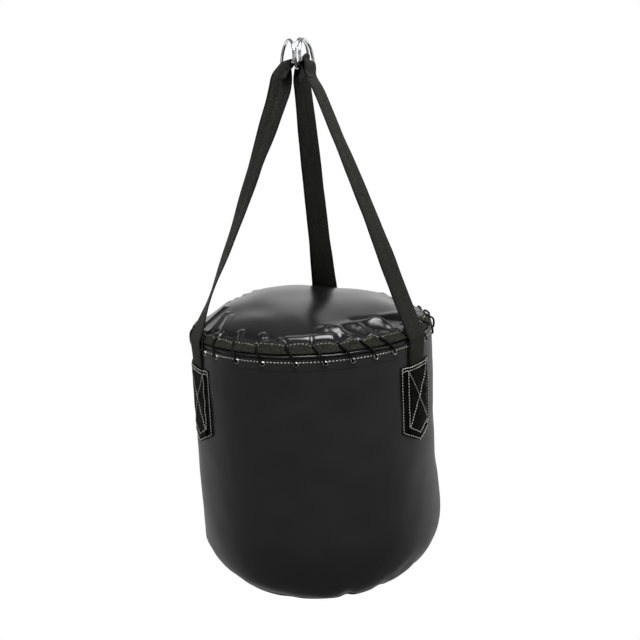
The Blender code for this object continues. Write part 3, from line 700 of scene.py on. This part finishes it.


# Woven polyester binding tape, 20 mm folded in half: matt, loose weave, drawn at 1.4 mm ribs for
# real ones of 0.7 mm, which are too fine for the render.
# its colour is painted shade, dark in the grooves between the ribs and lighter on their crests
tape = woven("black_polyester_tape_woven", "#020202", "#36362f", pitch=0.0014, depth=0.0006, roughness=0.8)
points = np.concatenate([outer, inner[::-1]])
piece = grid_piece("cover_binding_tape", points, tape, lengths=lengths, sharp=80)
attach(piece, "bag")
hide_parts("cover_binding")

# The pale thread again, duller and greyer all along the binding; its strands show coarser.
dull_thread = sewing_thread("grey_polyester_thread_duller", [(0.35, "#55554f"), (0.65, "#b0b0a8")],
                            twists=300.0, roughness=0.7)
line, outward = [np.vstack([grid[BINDING_STITCH_ROW], grid[BINDING_STITCH_ROW, :1]])
                 for grid in (outer, normal)]
piece = stitches("binding_stitches", [(line, outward)], dull_thread, pitch=0.0050, length=0.0028,
                 width=0.0011, height=0.0005)
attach(piece, "bag")


# Rim piping: a plastic cord wrapped in glossy vinyl and sewn along the wall's top edge, which it
# stiffens; the eyelets draw it in a little, and so do the straps where they fold over it.
PIPING_R = 0.1690
PIPING_Z = -0.3837
PIPING_RADIUS = 0.0021
PIPING_WAVE = 0.0004        # it doesn't run quite level
PIPING_DIP = 0.0004         # inwards by an eyelet
PIPING_PRESSED = 0.0018     # inwards by a strap


def under_strap(azimuth):
    """1 under a strap, fading to 0 beside it."""
    return sum(soft_step(-np.abs(turn_between(azimuth, a)), -9.0, -6.5) for a in STRAPS.values())


azimuth = np.arange(720) / 2
dip = spot_row(azimuth, 0.0, map(wall_eyelet, range(EYELETS)), 0.0, 0.012)
height = PIPING_Z - sunk(azimuth) + PIPING_WAVE * ripple(at(azimuth, PIPING_R, 0.0), 0.05, 41)
path = at(azimuth, PIPING_R - PIPING_DIP * dip - PIPING_PRESSED * under_strap(azimuth), height)
points, lengths = swept_grid(path, PIPING_RADIUS, 12, loop=True)
piece = grid_piece("rim_piping_roll", points, gloss, lengths=lengths)
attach(piece, "bag")
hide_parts("rim_piping")


# Eyelets: brass, nickel plated, pressed through wall and cover, with a reinforcing tape behind each
# row that stops them tearing out.
WALL_EYELET_SUNK = 0.0004
COVER_EYELET_SUNK = 0.0008
# half section of an eyelet, turned round its hole: radius, height over the fabric
EYELET_PROFILE = [(0.0020, -0.0016), (0.0019, 0.0005), (0.0022, 0.0013), (0.0028, 0.0018), (0.0032, 0.0015),
                  (0.0035, 0.0008), (0.0036, 0.0002), (0.0033, -0.0001), (0.0027, -0.0003), (0.0024, -0.0016)]


def eyelet_row(name, place, radius, z, normal, node):
    """A row of turned eyelets, normal being (radial, z)."""
    sides, rings = 20, len(EYELET_PROFILE)
    t = np.arange(sides) * math.tau / sides
    verts, faces = [], []
    for number in range(EYELETS):
        azimuth = place(number)
        centre = at(azimuth, radius, z - sunk(azimuth))
        axis = at(azimuth, normal[0], normal[1])
        aside = at(azimuth + 90, 1.0, 0.0)
        across = np.cross(axis, aside)
        round_hole = np.cos(t)[:, None] * aside + np.sin(t)[:, None] * across
        base = len(verts) * sides
        verts += [centre + axis * height + reach * round_hole for reach, height in EYELET_PROFILE]
        faces += [(base + a * sides + s, base + a * sides + (s + 1) % sides,
                   base + (a + 1) % rings * sides + (s + 1) % sides, base + (a + 1) % rings * sides + s)
                  for a in range(rings) for s in range(sides)]
    mesh = bpy.data.meshes.new(name)
    mesh.from_pydata(np.concatenate(verts).tolist(), [], faces)
    piece = add_piece(name, mesh, nickel)
    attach(piece, "bag")
    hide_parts(node)


# Nickel plate over pressed brass: bright, slightly soft, with fine handling marks about 2 mm long.
nickel = new_material("nickel_plated_brass_pressed")
spot = add_node(nickel, "ShaderNodeTexCoord").outputs["Object"]
marks = add_node(nickel, "ShaderNodeTexNoise",
                 inputs={"Vector": spot, "Scale": 500.0, "Detail": 3.0}).outputs["Fac"]
polish = add_node(nickel, "ShaderNodeMapRange", inputs={"Value": marks, "To Min": 0.30, "To Max": 0.44})
surface(nickel, {"Base Color": colours(nickel, marks, [(0.3, "#c9c7c2"), (0.7, "#e2e1de")]), "Metallic": 1.0,
                 "Roughness": polish.outputs["Result"]})
slope = float(crown_slope(COVER_EYELET_R, 0.0002))
COVER_NORMAL = np.array([-slope, 1.0]) / math.hypot(slope, 1)
COVER_EYELET_Z = float(crown_z(COVER_EYELET_R))
eyelet_row("wall_eyelets", wall_eyelet, wall_radius(WALL_EYELET_Z) - WALL_EYELET_SUNK, WALL_EYELET_Z,
           (1.0, 0.0), "wall_eyelet_band")
eyelet_row("cover_eyelets", cover_eyelet, COVER_EYELET_R - COVER_EYELET_SUNK * COVER_NORMAL[0],
           COVER_EYELET_Z - COVER_EYELET_SUNK * COVER_NORMAL[1], COVER_NORMAL, "cover_eyelet_band")


# Lacing: one length of braided polyester cord that runs out of each cover eyelet, over the binding
# and into the wall eyelet of the same number, all round, and ends in a knot at the back.
CORD_RADIUS = 0.0015
CORD_LIFT = 0.0032          # middle of the cord over the cover where it comes out of an eyelet
CORD_DIP = 0.0048           # and under it where it goes in
CORD_TIGHT = 0.45           # share of its stand-off that the drawn cord loses
CORD_PRESSED = 0.0038       # inwards by a strap
SLACK = (82, 7, 0.7)        # loose loops at the right: azimuth, half width in degrees, amount
TAUT = (-90, 13, 0.0024)    # and tight ones at the left: the last is how far inwards
# rest of one turn: share of the way to the next eyelet, radius, height
LACING_OUTSIDE = [(0.20, 0.1676, -0.3733), (0.45, 0.1722, -0.3773), (0.70, 0.1744, -0.3835),
                  (0.95, 0.1740, -0.3922)]
LACING_INSIDE = [(0.0, 0.1645, -0.3928), (0.5, 0.1625, -0.3845)]
KNOT_R = 0.1760             # the knot lies against the piping, a little past the last eyelet
KNOT_SIZE = 0.0026
KNOT_CORD = 0.7             # the cord is drawn thin in it


def about(azimuth, spot):
    """A spot's amount at its azimuth, fading over its half width."""
    centre, width, amount = spot
    return amount * math.exp(-(turn_between(azimuth, centre) / width) ** 2)


def lacing_turn(number):
    """Points of the cord from one cover eyelet through the wall eyelet to the next cover eyelet."""
    start, wall, end = cover_eyelet(number), wall_eyelet(number), cover_eyelet(number + 1)
    hole = np.array([COVER_EYELET_R, COVER_EYELET_Z])
    over = hole + CORD_LIFT * COVER_NORMAL
    under = hole - CORD_DIP * COVER_NORMAL
    turn = [at(start, *hole), at(start, *over)]
    for share, r, z in LACING_OUTSIDE:
        azimuth = start + (wall - start) * share
        press = max(0.0, r - BAG_RADIUS) * CORD_TIGHT * (1 - about(azimuth, SLACK))
        press += max(about(azimuth, TAUT), CORD_PRESSED * float(under_strap(azimuth)))
        turn.append(at(azimuth, r - press, z))
    turn.append(at(wall, BAG_RADIUS, WALL_EYELET_Z))
    turn += [at(wall + (end - wall) * share, r, z) for share, r, z in LACING_INSIDE]
    turn.append(at(end, *under))
    return [place - np.array([0, 0, sunk(math.degrees(math.atan2(place[0], -place[1])))]) for place in turn]


def smooth_rows(rows, step):
    """Catmull-Rom curve through points or rows of points, about step metres apart."""
    rows = np.asarray(rows, float)
    last = len(rows) - 1
    fine = []
    for k in range(last):
        near = [rows[min(max(i, 0), last)] for i in (k - 1, k, k + 1, k + 2)]
        gap = np.linalg.norm(near[2] - near[1], axis=-1).max()
        for t in np.arange(0, 1, 1 / max(1, math.ceil(gap / step))):
            fine.append(0.5 * (2 * near[1] + (near[2] - near[0]) * t
                               + (2 * near[0] - 5 * near[1] + 4 * near[2] - near[3]) * t ** 2
                               + (3 * near[1] - near[0] - 3 * near[2] + near[3]) * t ** 3))
    return np.array([*fine, rows[-1]])


# Braided polyester cord, 3 mm: black with a slight sheen; the braid is drawn at 2.4 mm a stitch.
BRAID_PITCH = 0.0024
cord = new_material("black_polyester_cord_braided")
metres = add_node(cord, "ShaderNodeUVMap", {"uv_map": "metres"}).outputs["UV"]
axes = add_node(cord, "ShaderNodeSeparateXYZ", inputs={"Vector": metres})
strands = []
for sign in (1, -1):
    lean = add_node(cord, "ShaderNodeMath", {"operation": "MULTIPLY_ADD"},
                    {0: axes.outputs["X"], 1: sign * 0.5, 2: axes.outputs["Y"]}).outputs[0]
    turns = add_node(cord, "ShaderNodeMath", {"operation": "MULTIPLY"}, {0: lean, 1: math.tau / BRAID_PITCH})
    strands.append(add_node(cord, "ShaderNodeMath", {"operation": "SINE"}, {0: turns.outputs[0]}).outputs[0])
braid = add_node(cord, "ShaderNodeMath", {"operation": "MULTIPLY"}, {0: strands[0], 1: strands[1]}).outputs[0]
bumps = add_node(cord, "ShaderNodeBump", inputs={"Height": braid, "Strength": 0.7, "Distance": 0.0004})
# painted shade: the hollows between the braid's strands are darker than its crests
surface(cord, {"Base Color": colours(cord, braid, [(0.0, "#030303"), (0.8, "#0f0f0f")]),
               "Roughness": 0.5, "Specular IOR Level": 0.15, "Normal": bumps.outputs["Normal"]})
LAST_EYELET = wall_eyelet(EYELETS // 2)     # azimuth at which the cord begins and ends
knot_centre = at(LAST_EYELET + 3.1, KNOT_R, -0.3885)
turns = [lacing_turn(EYELETS // 2 + i) for i in range(1, EYELETS + 1)]
# the cord leaves the knot within the first turn and comes back to it within the last
route = [at(LAST_EYELET + 5.4, KNOT_R, -0.3870), at(LAST_EYELET + 7.8, 0.1765, -0.3822)]
route += turns[0][4:]
for turn in turns[1:-1]:
    route += turn
route += turns[-1][:6] + [at(LAST_EYELET + 0.8, KNOT_R, -0.3905)]
points, lengths = swept_grid(smooth_rows(route, 0.0015), CORD_RADIUS, 10, loop=False)
piece = grid_piece("lacing", points, cord, closed=False, lengths=lengths, sharp=80)
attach(piece, "bag")
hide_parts("lacing_cord")

# the knot: a trefoil of the same cord, drawn tight and so thinner
t = np.arange(96) * math.tau / 96
knot_side = at(LAST_EYELET + 93, 1.0, 0.0)
knot_out = at(LAST_EYELET + 3, 1.0, 0.0)
path = knot_centre + KNOT_SIZE * (
    (np.sin(t) + 2 * np.sin(2 * t))[:, None] * np.array([0, 0, 0.5])
    + (np.cos(t) - 2 * np.cos(2 * t))[:, None] * knot_side / 2
    - np.sin(3 * t)[:, None] * knot_out * 0.7)
points, lengths = swept_grid(path, CORD_RADIUS * KNOT_CORD, 10, loop=True)
piece = grid_piece("lacing_end_knot", points, cord, lengths=lengths, sharp=80)
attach(piece, "bag")
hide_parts("lacing_knot")


# Straps: 40 mm polyester webbing. Each is sewn flat to the wall under its patch, folds over the rim
# there, rises to the hook and is looped round the straight bar of its D-ring.
STRAP_WIDTH = 0.040
STRAP_THICK = 0.0020
ANCHOR_GAP = 0.0004         # clear of the wall
FOLD_INNER_R = 0.1766       # inner face of the webbing at its fold line
FOLD_Z = -0.3795
FOLD_CLEAR = 0.0010
HINGE_PROUD = 0.0005        # hinge line outside the webbing
RING_WIRE = 0.0022          # radius of the wire
RING_HALF_WIDTH = 0.0232
RING_HEIGHT = 0.030
RING_CORNER = 0.004
RING_TOP_X = {"left": -0.0123, "right": 0.0087, "back": 0.0008}     # top of each arch
RING_LEAN = 0.30            # how far the rings follow the straps instead of hanging plumb
RING_FACING = {"left": -70.0, "right": 70.0, "back": 250.0}     # direction of each bar, in degrees
LOOP_CLEAR = 0.0005
TAIL_SIDE = {"left": -1, "right": 1, "back": -1}                # 1 outside the strap, -1 inside
TAIL_LENGTH = 0.022
ANCHOR_END_Z = -0.511
# extra turn of each strap on the way up, in degrees at fractions of its length
STRAP_TURN = {
    "left": [(0.0, 0), (0.17, -18), (0.36, -7), (0.62, 5), (0.82, 20), (0.94, 27)],
    "right": [(0.0, 0), (0.25, 0), (0.5, 6), (0.75, 12), (0.93, 12)],
    "back": [(0.0, 0), (0.12, 32), (0.3, 46), (0.6, 52), (0.95, 64)],
}
TWIST_END = 0.99            # the webbing lies flat on its bar from here
# how far each strap bows outwards on its way up
STRAP_BOW = {"left": -0.0052, "right": 0.0048, "back": 0.0}
STRAP_PRESSED = 0.0060      # the straps press the lacing flat where they fold over the rim


def strap_frame(name):
    """Fold line, ring bar and directions of one strap."""
    azimuth = STRAPS[name]
    side = Vector(at(azimuth + 90, 1.0, 0.0))
    hinge = Vector(at(azimuth, FOLD_INNER_R + STRAP_THICK + HINGE_PROUD, FOLD_Z))
    top = Vector((RING_TOP_X[name], 0, RING_WIRE))
    fold = Vector(at(azimuth, FOLD_INNER_R + STRAP_THICK / 2, FOLD_Z))
    facing = math.radians(RING_FACING[name])
    plumb = Vector((0, 0, -1))
    rise = -plumb
    # the bar is square to the strap and the ring stands on the bar, so each depends on the other
    for _ in range(6):
        centre = top - RING_HEIGHT * rise
        down = (fold - centre).normalized()
        bar = Vector((math.cos(facing), math.sin(facing), 0))
        bar = (bar - bar.dot(down) * down).normalized()
        hang = plumb.lerp(down, RING_LEAN)
        rise = -(hang - hang.dot(bar) * bar).normalized()
    return {"side": side, "hinge": hinge, "down": down, "bar": bar, "rise": rise, "centre": centre}


def turn_at(table, end, fraction):
    """Twist in degrees at a fraction of the strap, smooth between the given points."""
    knots = table + [(TWIST_END, end), (1.0, end)]
    for (f0, t0), (f1, t1) in zip(knots, knots[1:]):
        if fraction <= f1:
            return t0 + (t1 - t0) * float(soft_step(fraction, f0, f1))
    return knots[-1][1]


def strap_stations(name):
    """Centre and width direction along the free webbing, up, round the ring's bar and down the tail."""
    f = strap_frame(name)
    up = -f["down"]
    side = (f["side"] - f["side"].dot(up) * up).normalized()
    out = side.cross(up)
    bar = f["bar"] if f["bar"].dot(side) >= 0 else -f["bar"]
    end_turn = math.degrees(math.atan2(bar.cross(side).dot(-up), bar.dot(side)))
    ring_out = bar.cross(up)
    reach = RING_WIRE + LOOP_CLEAR + STRAP_THICK / 2
    tail = TAIL_SIDE[name]
    start = f["hinge"] + FOLD_CLEAR * up - (HINGE_PROUD + STRAP_THICK / 2 + STRAP_PRESSED) * out
    end = f["centre"] - tail * reach * ring_out
    stations = []
    for i in range(23):
        way = i / 22
        turn = math.radians(turn_at(STRAP_TURN[name], end_turn, way))
        bow = STRAP_BOW[name] * float(soft_step(way, 0.0, 0.5) * soft_step(-way, -1.0, -0.88))
        stations.append((start.lerp(end, way) + bow * out, Matrix.Rotation(turn, 3, up) @ side))
    for i in range(1, 9):
        a = math.pi * i / 8
        radial = -tail * math.cos(a) * ring_out + math.sin(a) * up
        stations.append((f["centre"] + reach * radial, bar))
    # the tail: how far down it, and how far from the strap
    close = STRAP_THICK + 0.0004
    for drop, apart in ((0.006, 1.6 * reach), (0.013, close + 0.0002), (TAIL_LENGTH, close)):
        stations.append((end.lerp(start, drop / (end - start).length) + tail * apart * ring_out, bar))
    return stations


def ribbon(name, middle, across, thick, material):
    """Closed webbing over rows of points through its middle, with rounded edges and cut ends."""
    along_way = np.gradient(middle, axis=0)
    normal = np.cross(np.gradient(middle, axis=1), along_way)
    normal /= np.linalg.norm(normal, axis=-1, keepdims=True)
    share = across / np.abs(across).max()
    swell = (thick / 2 * (1 - np.abs(share) ** 10) ** 0.5)[None, :, None]
    points = sheet_rows(middle + normal * swell, middle - normal * swell, middle)
    run = np.cumsum(np.linalg.norm(np.diff(middle[:, len(across) // 2], axis=0), axis=1))
    along = np.concatenate([[0, 0], run, run[-1:]])
    width = np.concatenate([across, across[-2:0:-1], across[:1]])
    return grid_piece(name, points, material, closed=False, lengths=(along, width), sharp=60)


# Polyester webbing, woven in herringbone on a needle loom: black, matt, with tight edges; the black along
# the edges and the dark in the grooves of the ribs are painted shade. Drawn at 1.9 mm ribs for real ones of
# 1.2 mm.
webbing = woven("black_polyester_webbing_herringbone", "#020202", "#2c2c26", pitch=0.0019, depth=0.0007,
                roughness=0.68, edge=0.0158)
FLUTTER = 0.0003            # the edges of the free webbing wave this much
half = STRAP_WIDTH / 2
across = half * np.sin(np.linspace(-math.pi / 2, math.pi / 2, 23))
# the sewn end: height, stand-off from the wall, and how flat it lies instead of round the wall
anchor_levels = [(ANCHOR_END_Z, 0.0, 0.0), (-0.468, 0.0, 0.0), (-0.4165, 0.0, 0.0), (-0.4045, 0.0002, 0.4),
                 (-0.3955, 0.0004, 0.8), (-0.388, 0.0004, 1.0)]
for name, azimuth in STRAPS.items():
    side = at(azimuth + 90, 1.0, 0.0)
    rows = []
    for z, stand_off, flat in anchor_levels:
        r = wall_radius(z) + ANCHOR_GAP + stand_off + STRAP_THICK / 2
        bent = at(azimuth + np.degrees(across / r), r, z)
        straight = at(azimuth, r, z) + across[:, None] * side
        rows.append(bent + (straight - bent) * flat)
    for centre, width in strap_stations(name):
        rows.append(np.array(centre) + across[:, None] * np.array(width))
    middle = smooth_rows(rows, 0.0035)
    wave = FLUTTER * ripple(middle, 0.06, len(name)) * (across / half) ** 2
    lean = np.cross(np.gradient(middle, axis=1), np.gradient(middle, axis=0))
    lean /= np.linalg.norm(lean, axis=-1, keepdims=True)
    free = soft_step(middle[..., 2], -0.36, -0.30) * soft_step(-middle[..., 2], 0.08, 0.12)
    middle = middle + lean * (wave * free)[..., None]
    piece = ribbon(f"webbing_{name}", middle, across, STRAP_THICK, webbing)
    f = strap_frame(name)
    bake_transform(piece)
    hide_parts(f"strap_{name}", f"anchor_{name}")


# Patches: a pointed panel of heavy black fabric over the sewn end of each strap, hemmed all round
# and sewn down with pale thread along the edges, inside them and in a cross.
PATCH_WIDTH = 0.070
PATCH_TOP_Z = -0.417
PATCH_CORNER_Z = -0.5074
PATCH_TIP_Z = -0.5253
PATCH_THICK = 0.0013
PATCH_GAP = 0.0004
PATCH_HEM = 0.0004          # the edge, turned under, stands this much over the middle
QUILT = 0.00035             # unevenness of the sewn fabric
patch_half = PATCH_WIDTH / 2


def patch_foot(x):
    """Height of the pointed lower edge at x across."""
    return PATCH_TIP_Z + (PATCH_CORNER_Z - PATCH_TIP_Z) * np.abs(x) / patch_half


def patch_inset(x, z):
    """Distance in from the nearest edge, measured across or down."""
    return np.minimum(np.minimum(patch_half - np.abs(x), PATCH_TOP_Z - z), z - patch_foot(x))


def patch_surface(name, x, z):
    """Outer face of a patch at x across and height z, a little uneven inside its edges."""
    azimuth = STRAPS[name]
    over = soft_step(-np.abs(x), -0.0250, -0.0205) * (STRAP_THICK + 2 * PATCH_GAP)
    hem = PATCH_HEM * soft_step(np.minimum(patch_half - np.abs(x), PATCH_TOP_Z - z), 0.0085, 0.0070)
    r = wall_radius(z) + PATCH_GAP + over + PATCH_THICK + hem - PATCH_HEM
    flat = at(azimuth + np.degrees(x / r), r, z)
    quilt = QUILT * ripple(flat, 0.016, 50 + len(name)) * soft_step(patch_inset(x, z), 0.001, 0.006)
    return flat + at(azimuth + np.degrees(x / BAG_RADIUS), 1.0, 0.0) * quilt[..., None]


# Coated polyester duck, black: dull, smooth between the threads; they lie 0.6 mm apart, too fine
# to show, and are drawn about 1.7 mm apart.
duck = new_material("black_coated_polyester_duck")
spot = add_node(duck, "ShaderNodeTexCoord").outputs["Object"]
threads = add_node(duck, "ShaderNodeTexNoise",
                   inputs={"Vector": spot, "Scale": 600.0, "Detail": 2.0}).outputs["Fac"]
cloth = add_node(duck, "ShaderNodeBump", inputs={"Height": threads, "Strength": 0.4, "Distance": 0.0003})
surface(duck, {"Base Color": colours(duck, threads, [(0.3, "#030303"), (0.7, "#090909")]), "Roughness": 0.72,
               "Specular IOR Level": 0.06, "Normal": cloth.outputs["Normal"]})
RIM_STITCH_X = 0.0335       # the outer line of stitches
INNER_STITCH_X = 0.0225     # and the one beside the webbing
x = np.concatenate([np.linspace(-patch_half, -0.029, 7), np.linspace(-0.028, 0.028, 57),
                    np.linspace(0.029, patch_half, 7)])
for name, azimuth in STRAPS.items():
    share = np.linspace(0, 1, 76)[:, None]
    z = PATCH_TOP_Z + (patch_foot(x)[None, :] - PATCH_TOP_Z) * share
    wide = np.broadcast_to(x, z.shape)
    outer = patch_surface(name, wide, z)
    outward = at(azimuth + np.degrees(wide / BAG_RADIUS), 1.0, 0.0)
    edge = patch_inset(wide, z)
    outer = outer - outward * (0.0006 * soft_step(-edge, -0.0012, 0))[..., None]
    inner = outer - outward * PATCH_THICK * soft_step(edge, -0.001, 0.0005)[..., None]
    points = sheet_rows(outer, inner, inner)
    piece = grid_piece(f"patch_panel_{name}", points, duck, closed=False, sharp=60)
    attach(piece, "bag")
    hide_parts(f"patch_{name}")

    def sewn(line):
        """A straight-sided row over the patch through (x, z) corners."""
        line = np.array(subdivided(line, 0.002))
        return (patch_surface(name, line[:, 0], line[:, 1]) - THREAD_SUNK * at(azimuth, 1.0, 0.0),
                at(azimuth + np.degrees(line[:, 0] / BAG_RADIUS), 1.0, 0.0))

    # two rows across the top, one along the edge, one beside the webbing, and a cross
    rim, near = RIM_STITCH_X, INNER_STITCH_X
    rows = [
        sewn([(-rim, -0.4185), (rim, -0.4185)]),
        sewn([(-rim, -0.4225), (rim, -0.4225)]),
        sewn([(-rim, -0.4185), (-rim, -0.5060), (0, -0.5233), (rim, -0.5060), (rim, -0.4185)]),
        sewn([(-near, -0.4225), (-near, -0.5010), (0, -0.5140), (near, -0.5010), (near, -0.4225)]),
        sewn([(-near, -0.4250), (near, -0.5000)]),
        sewn([(near, -0.4250), (-near, -0.5000)]),
    ]
    piece = stitches(f"patch_stitches_{name}", rows, pale_thread, pitch=0.0040, length=0.0027, width=0.0012,
                     height=0.0008)
    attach(piece, "bag")


# D-rings: 4.4 mm steel wire bent to a D and butt welded in the middle of its bar, then chrome plated.
# Their arches all hang on the one hook. Marks about 3 mm long dull the mirror a little.
chrome = new_material("chrome_plated_steel_wire")
spot = add_node(chrome, "ShaderNodeTexCoord").outputs["Object"]
marks = add_node(chrome, "ShaderNodeTexNoise",
                 inputs={"Vector": spot, "Scale": 300.0, "Detail": 4.0}).outputs["Fac"]
polish = add_node(chrome, "ShaderNodeMapRange", inputs={"Value": marks, "To Min": 0.10, "To Max": 0.17})
surface(chrome, {"Base Color": colours(chrome, marks, [(0.3, "#d2d3d5"), (0.7, "#e6e7e9")]), "Metallic": 1.0,
                 "Roughness": polish.outputs["Result"]})
for name in STRAPS:
    f = strap_frame(name)
    up, bar = np.array(f["rise"]), np.array(f["bar"])
    bar_end = RING_HALF_WIDTH - RING_CORNER
    flat = [(x, 0.0) for x in np.linspace(-bar_end, bar_end, 21)]
    bends = [math.pi / 2 * k / 8 for k in range(1, 9)]
    right = [(bar_end + RING_CORNER * math.sin(t), RING_CORNER * (1 - math.cos(t))) for t in bends]
    arch = [(RING_HALF_WIDTH * math.cos(t), RING_CORNER + (RING_HEIGHT - RING_CORNER) * math.sin(t))
            for t in np.linspace(0, math.pi, 57)[1:-1]]
    flat += right + arch + [(-x, y) for x, y in right[::-1]]
    flat = np.array(flat)
    path = np.array(f["centre"]) + flat[:, :1] * bar + flat[:, 1:] * up
    weld = np.exp(-(flat[:, 0] / 0.0016) ** 2) * (flat[:, 1] < 0.001)
    points, lengths = swept_grid(path, RING_WIRE * (1 - 0.05 * weld), 20, loop=True)
    piece = grid_piece(f"d_ring_{name}", points, chrome, lengths=lengths, sharp=80)
    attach(piece, f"ring_{name}")
    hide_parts(f"ring_{name}")


# Studio: white floor and backdrop, a plain grey room above and in front, a soft overhead lamp and
# two side ones; the camera stands in front and looks a little down.
def plain_white(name):
    """White to the camera and in reflections, and a matt white surface for light and shadow."""
    paper = new_material(name)
    rays = add_node(paper, "ShaderNodeLightPath")
    seen = add_node(paper, "ShaderNodeMath", {"operation": "MAXIMUM"},
                    {0: rays.outputs["Is Glossy Ray"], 1: rays.outputs["Is Transmission Ray"]})
    shown = add_node(paper, "ShaderNodeMath", {"operation": "MAXIMUM"},
                     {0: rays.outputs["Is Camera Ray"], 1: seen.outputs[0]})
    matt = add_node(paper, "ShaderNodeBsdfDiffuse", inputs={"Color": linear("#e8e8e8")})
    glow = add_node(paper, "ShaderNodeEmission", inputs={"Color": (1, 1, 1, 1), "Strength": 1.0})
    mixed = add_node(paper, "ShaderNodeMixShader",
                     inputs={0: shown.outputs[0], 1: matt.outputs[0], 2: glow.outputs[0]})
    add_node(paper, "ShaderNodeOutputMaterial", inputs={"Surface": mixed.outputs[0]})
    return paper


def stage_plane(name, corners, material):
    mesh = bpy.data.meshes.new(name)
    mesh.from_pydata(corners, [], [tuple(range(len(corners)))])
    mesh.materials.append(material)
    plane = bpy.data.objects.new(name, mesh)
    bpy.context.scene.collection.objects.link(plane)


FLOOR_Z = -1.25
FLOOR_FRONT = 0.12          # the wall mirrors the room in front of it, not a white floor
BACK_Y = 1.9
WIDE = 6                    # half width of the floor and the backdrop
# upper edge of the backdrop, as (x, z): the cover and the rings mirror it
BACK_TOP = [(WIDE, 0.3), (1.2, 1.2), (0.3, 1.55), (-0.15, 1.30), (-0.45, 0.40), (-WIDE, -0.6)]
white = plain_white("white_studio_paper")
front_edge = [(-WIDE, FLOOR_FRONT, FLOOR_Z), (WIDE, FLOOR_FRONT, FLOOR_Z)]
back_edge = [(-WIDE, BACK_Y, FLOOR_Z), (WIDE, BACK_Y, FLOOR_Z)]
stage_plane("studio_floor", front_edge + back_edge[::-1], white)
stage_plane("studio_backdrop", back_edge + [(x, BACK_Y, z) for x, z in BACK_TOP], white)

world = bpy.data.worlds.new("studio_room")
bpy.context.scene.world = world
world.use_nodes = True
world.node_tree.nodes.clear()
rays = add_node(world, "ShaderNodeLightPath")
shade = add_node(world, "ShaderNodeMix", {"data_type": "RGBA"},
                 {0: rays.outputs["Is Camera Ray"], 6: (0.22, 0.22, 0.22, 1), 7: (1, 1, 1, 1)})
air = add_node(world, "ShaderNodeBackground", inputs={"Color": shade.outputs[2], "Strength": 1.0})
add_node(world, "ShaderNodeOutputWorld", inputs={"Surface": air.outputs[0]})


def area_lamp(name, place, target, size, power):
    """A rectangular lamp, size across and high, that faces the target."""
    lamp = bpy.data.lights.new(name, "AREA")
    lamp.shape = "RECTANGLE"
    lamp.size, lamp.size_y = size
    lamp.energy = power
    lamp_object = bpy.data.objects.new(name, lamp)
    bpy.context.scene.collection.objects.link(lamp_object)
    lamp_object.location = place
    lamp_object.rotation_mode = "QUATERNION"
    lamp_object.rotation_quaternion = (Vector(target) - Vector(place)).to_track_quat("-Z", "Y")


BAG_MIDDLE = (0, 0, -0.50)
COVER_MIDDLE = (0, 0, -0.38)
area_lamp("lamp_overhead", (0.15, -0.45, 1.35), COVER_MIDDLE, size=(1.2, 0.80), power=48)
area_lamp("lamp_left", (-2.0, -1.6, 0.5), BAG_MIDDLE, size=(1.0, 1.6), power=6)
area_lamp("lamp_right", (2.1, -0.8, 0.3), BAG_MIDDLE, size=(0.7, 1.6), power=6)

# the camera was fitted to the photograph: angles in radians, lens in mm
CAMERA_PLACE = (0, -1.19112, -0.08584)
PAN, TILT, ROLL = 0.0108, 0.2412, -0.0436
camera = bpy.data.cameras.new("camera")
camera.lens = 48.49
camera.sensor_width = 36
camera.clip_start, camera.clip_end = 0.05, 50
camera_object = bpy.data.objects.new("camera", camera)
bpy.context.scene.collection.objects.link(camera_object)
forward = Vector((math.sin(PAN) * math.cos(TILT), math.cos(PAN) * math.cos(TILT), -math.sin(TILT)))
level = Vector((math.cos(PAN), -math.sin(PAN), 0))
upright = level.cross(forward)
right = math.cos(ROLL) * level + math.sin(ROLL) * upright
above = -math.sin(ROLL) * level + math.cos(ROLL) * upright
turned = Matrix((right, above, -forward)).transposed().to_4x4()
camera_object.matrix_world = Matrix.Translation(CAMERA_PLACE) @ turned
bpy.context.scene.camera = camera_object
bpy.context.scene.view_settings.view_transform = "Standard"
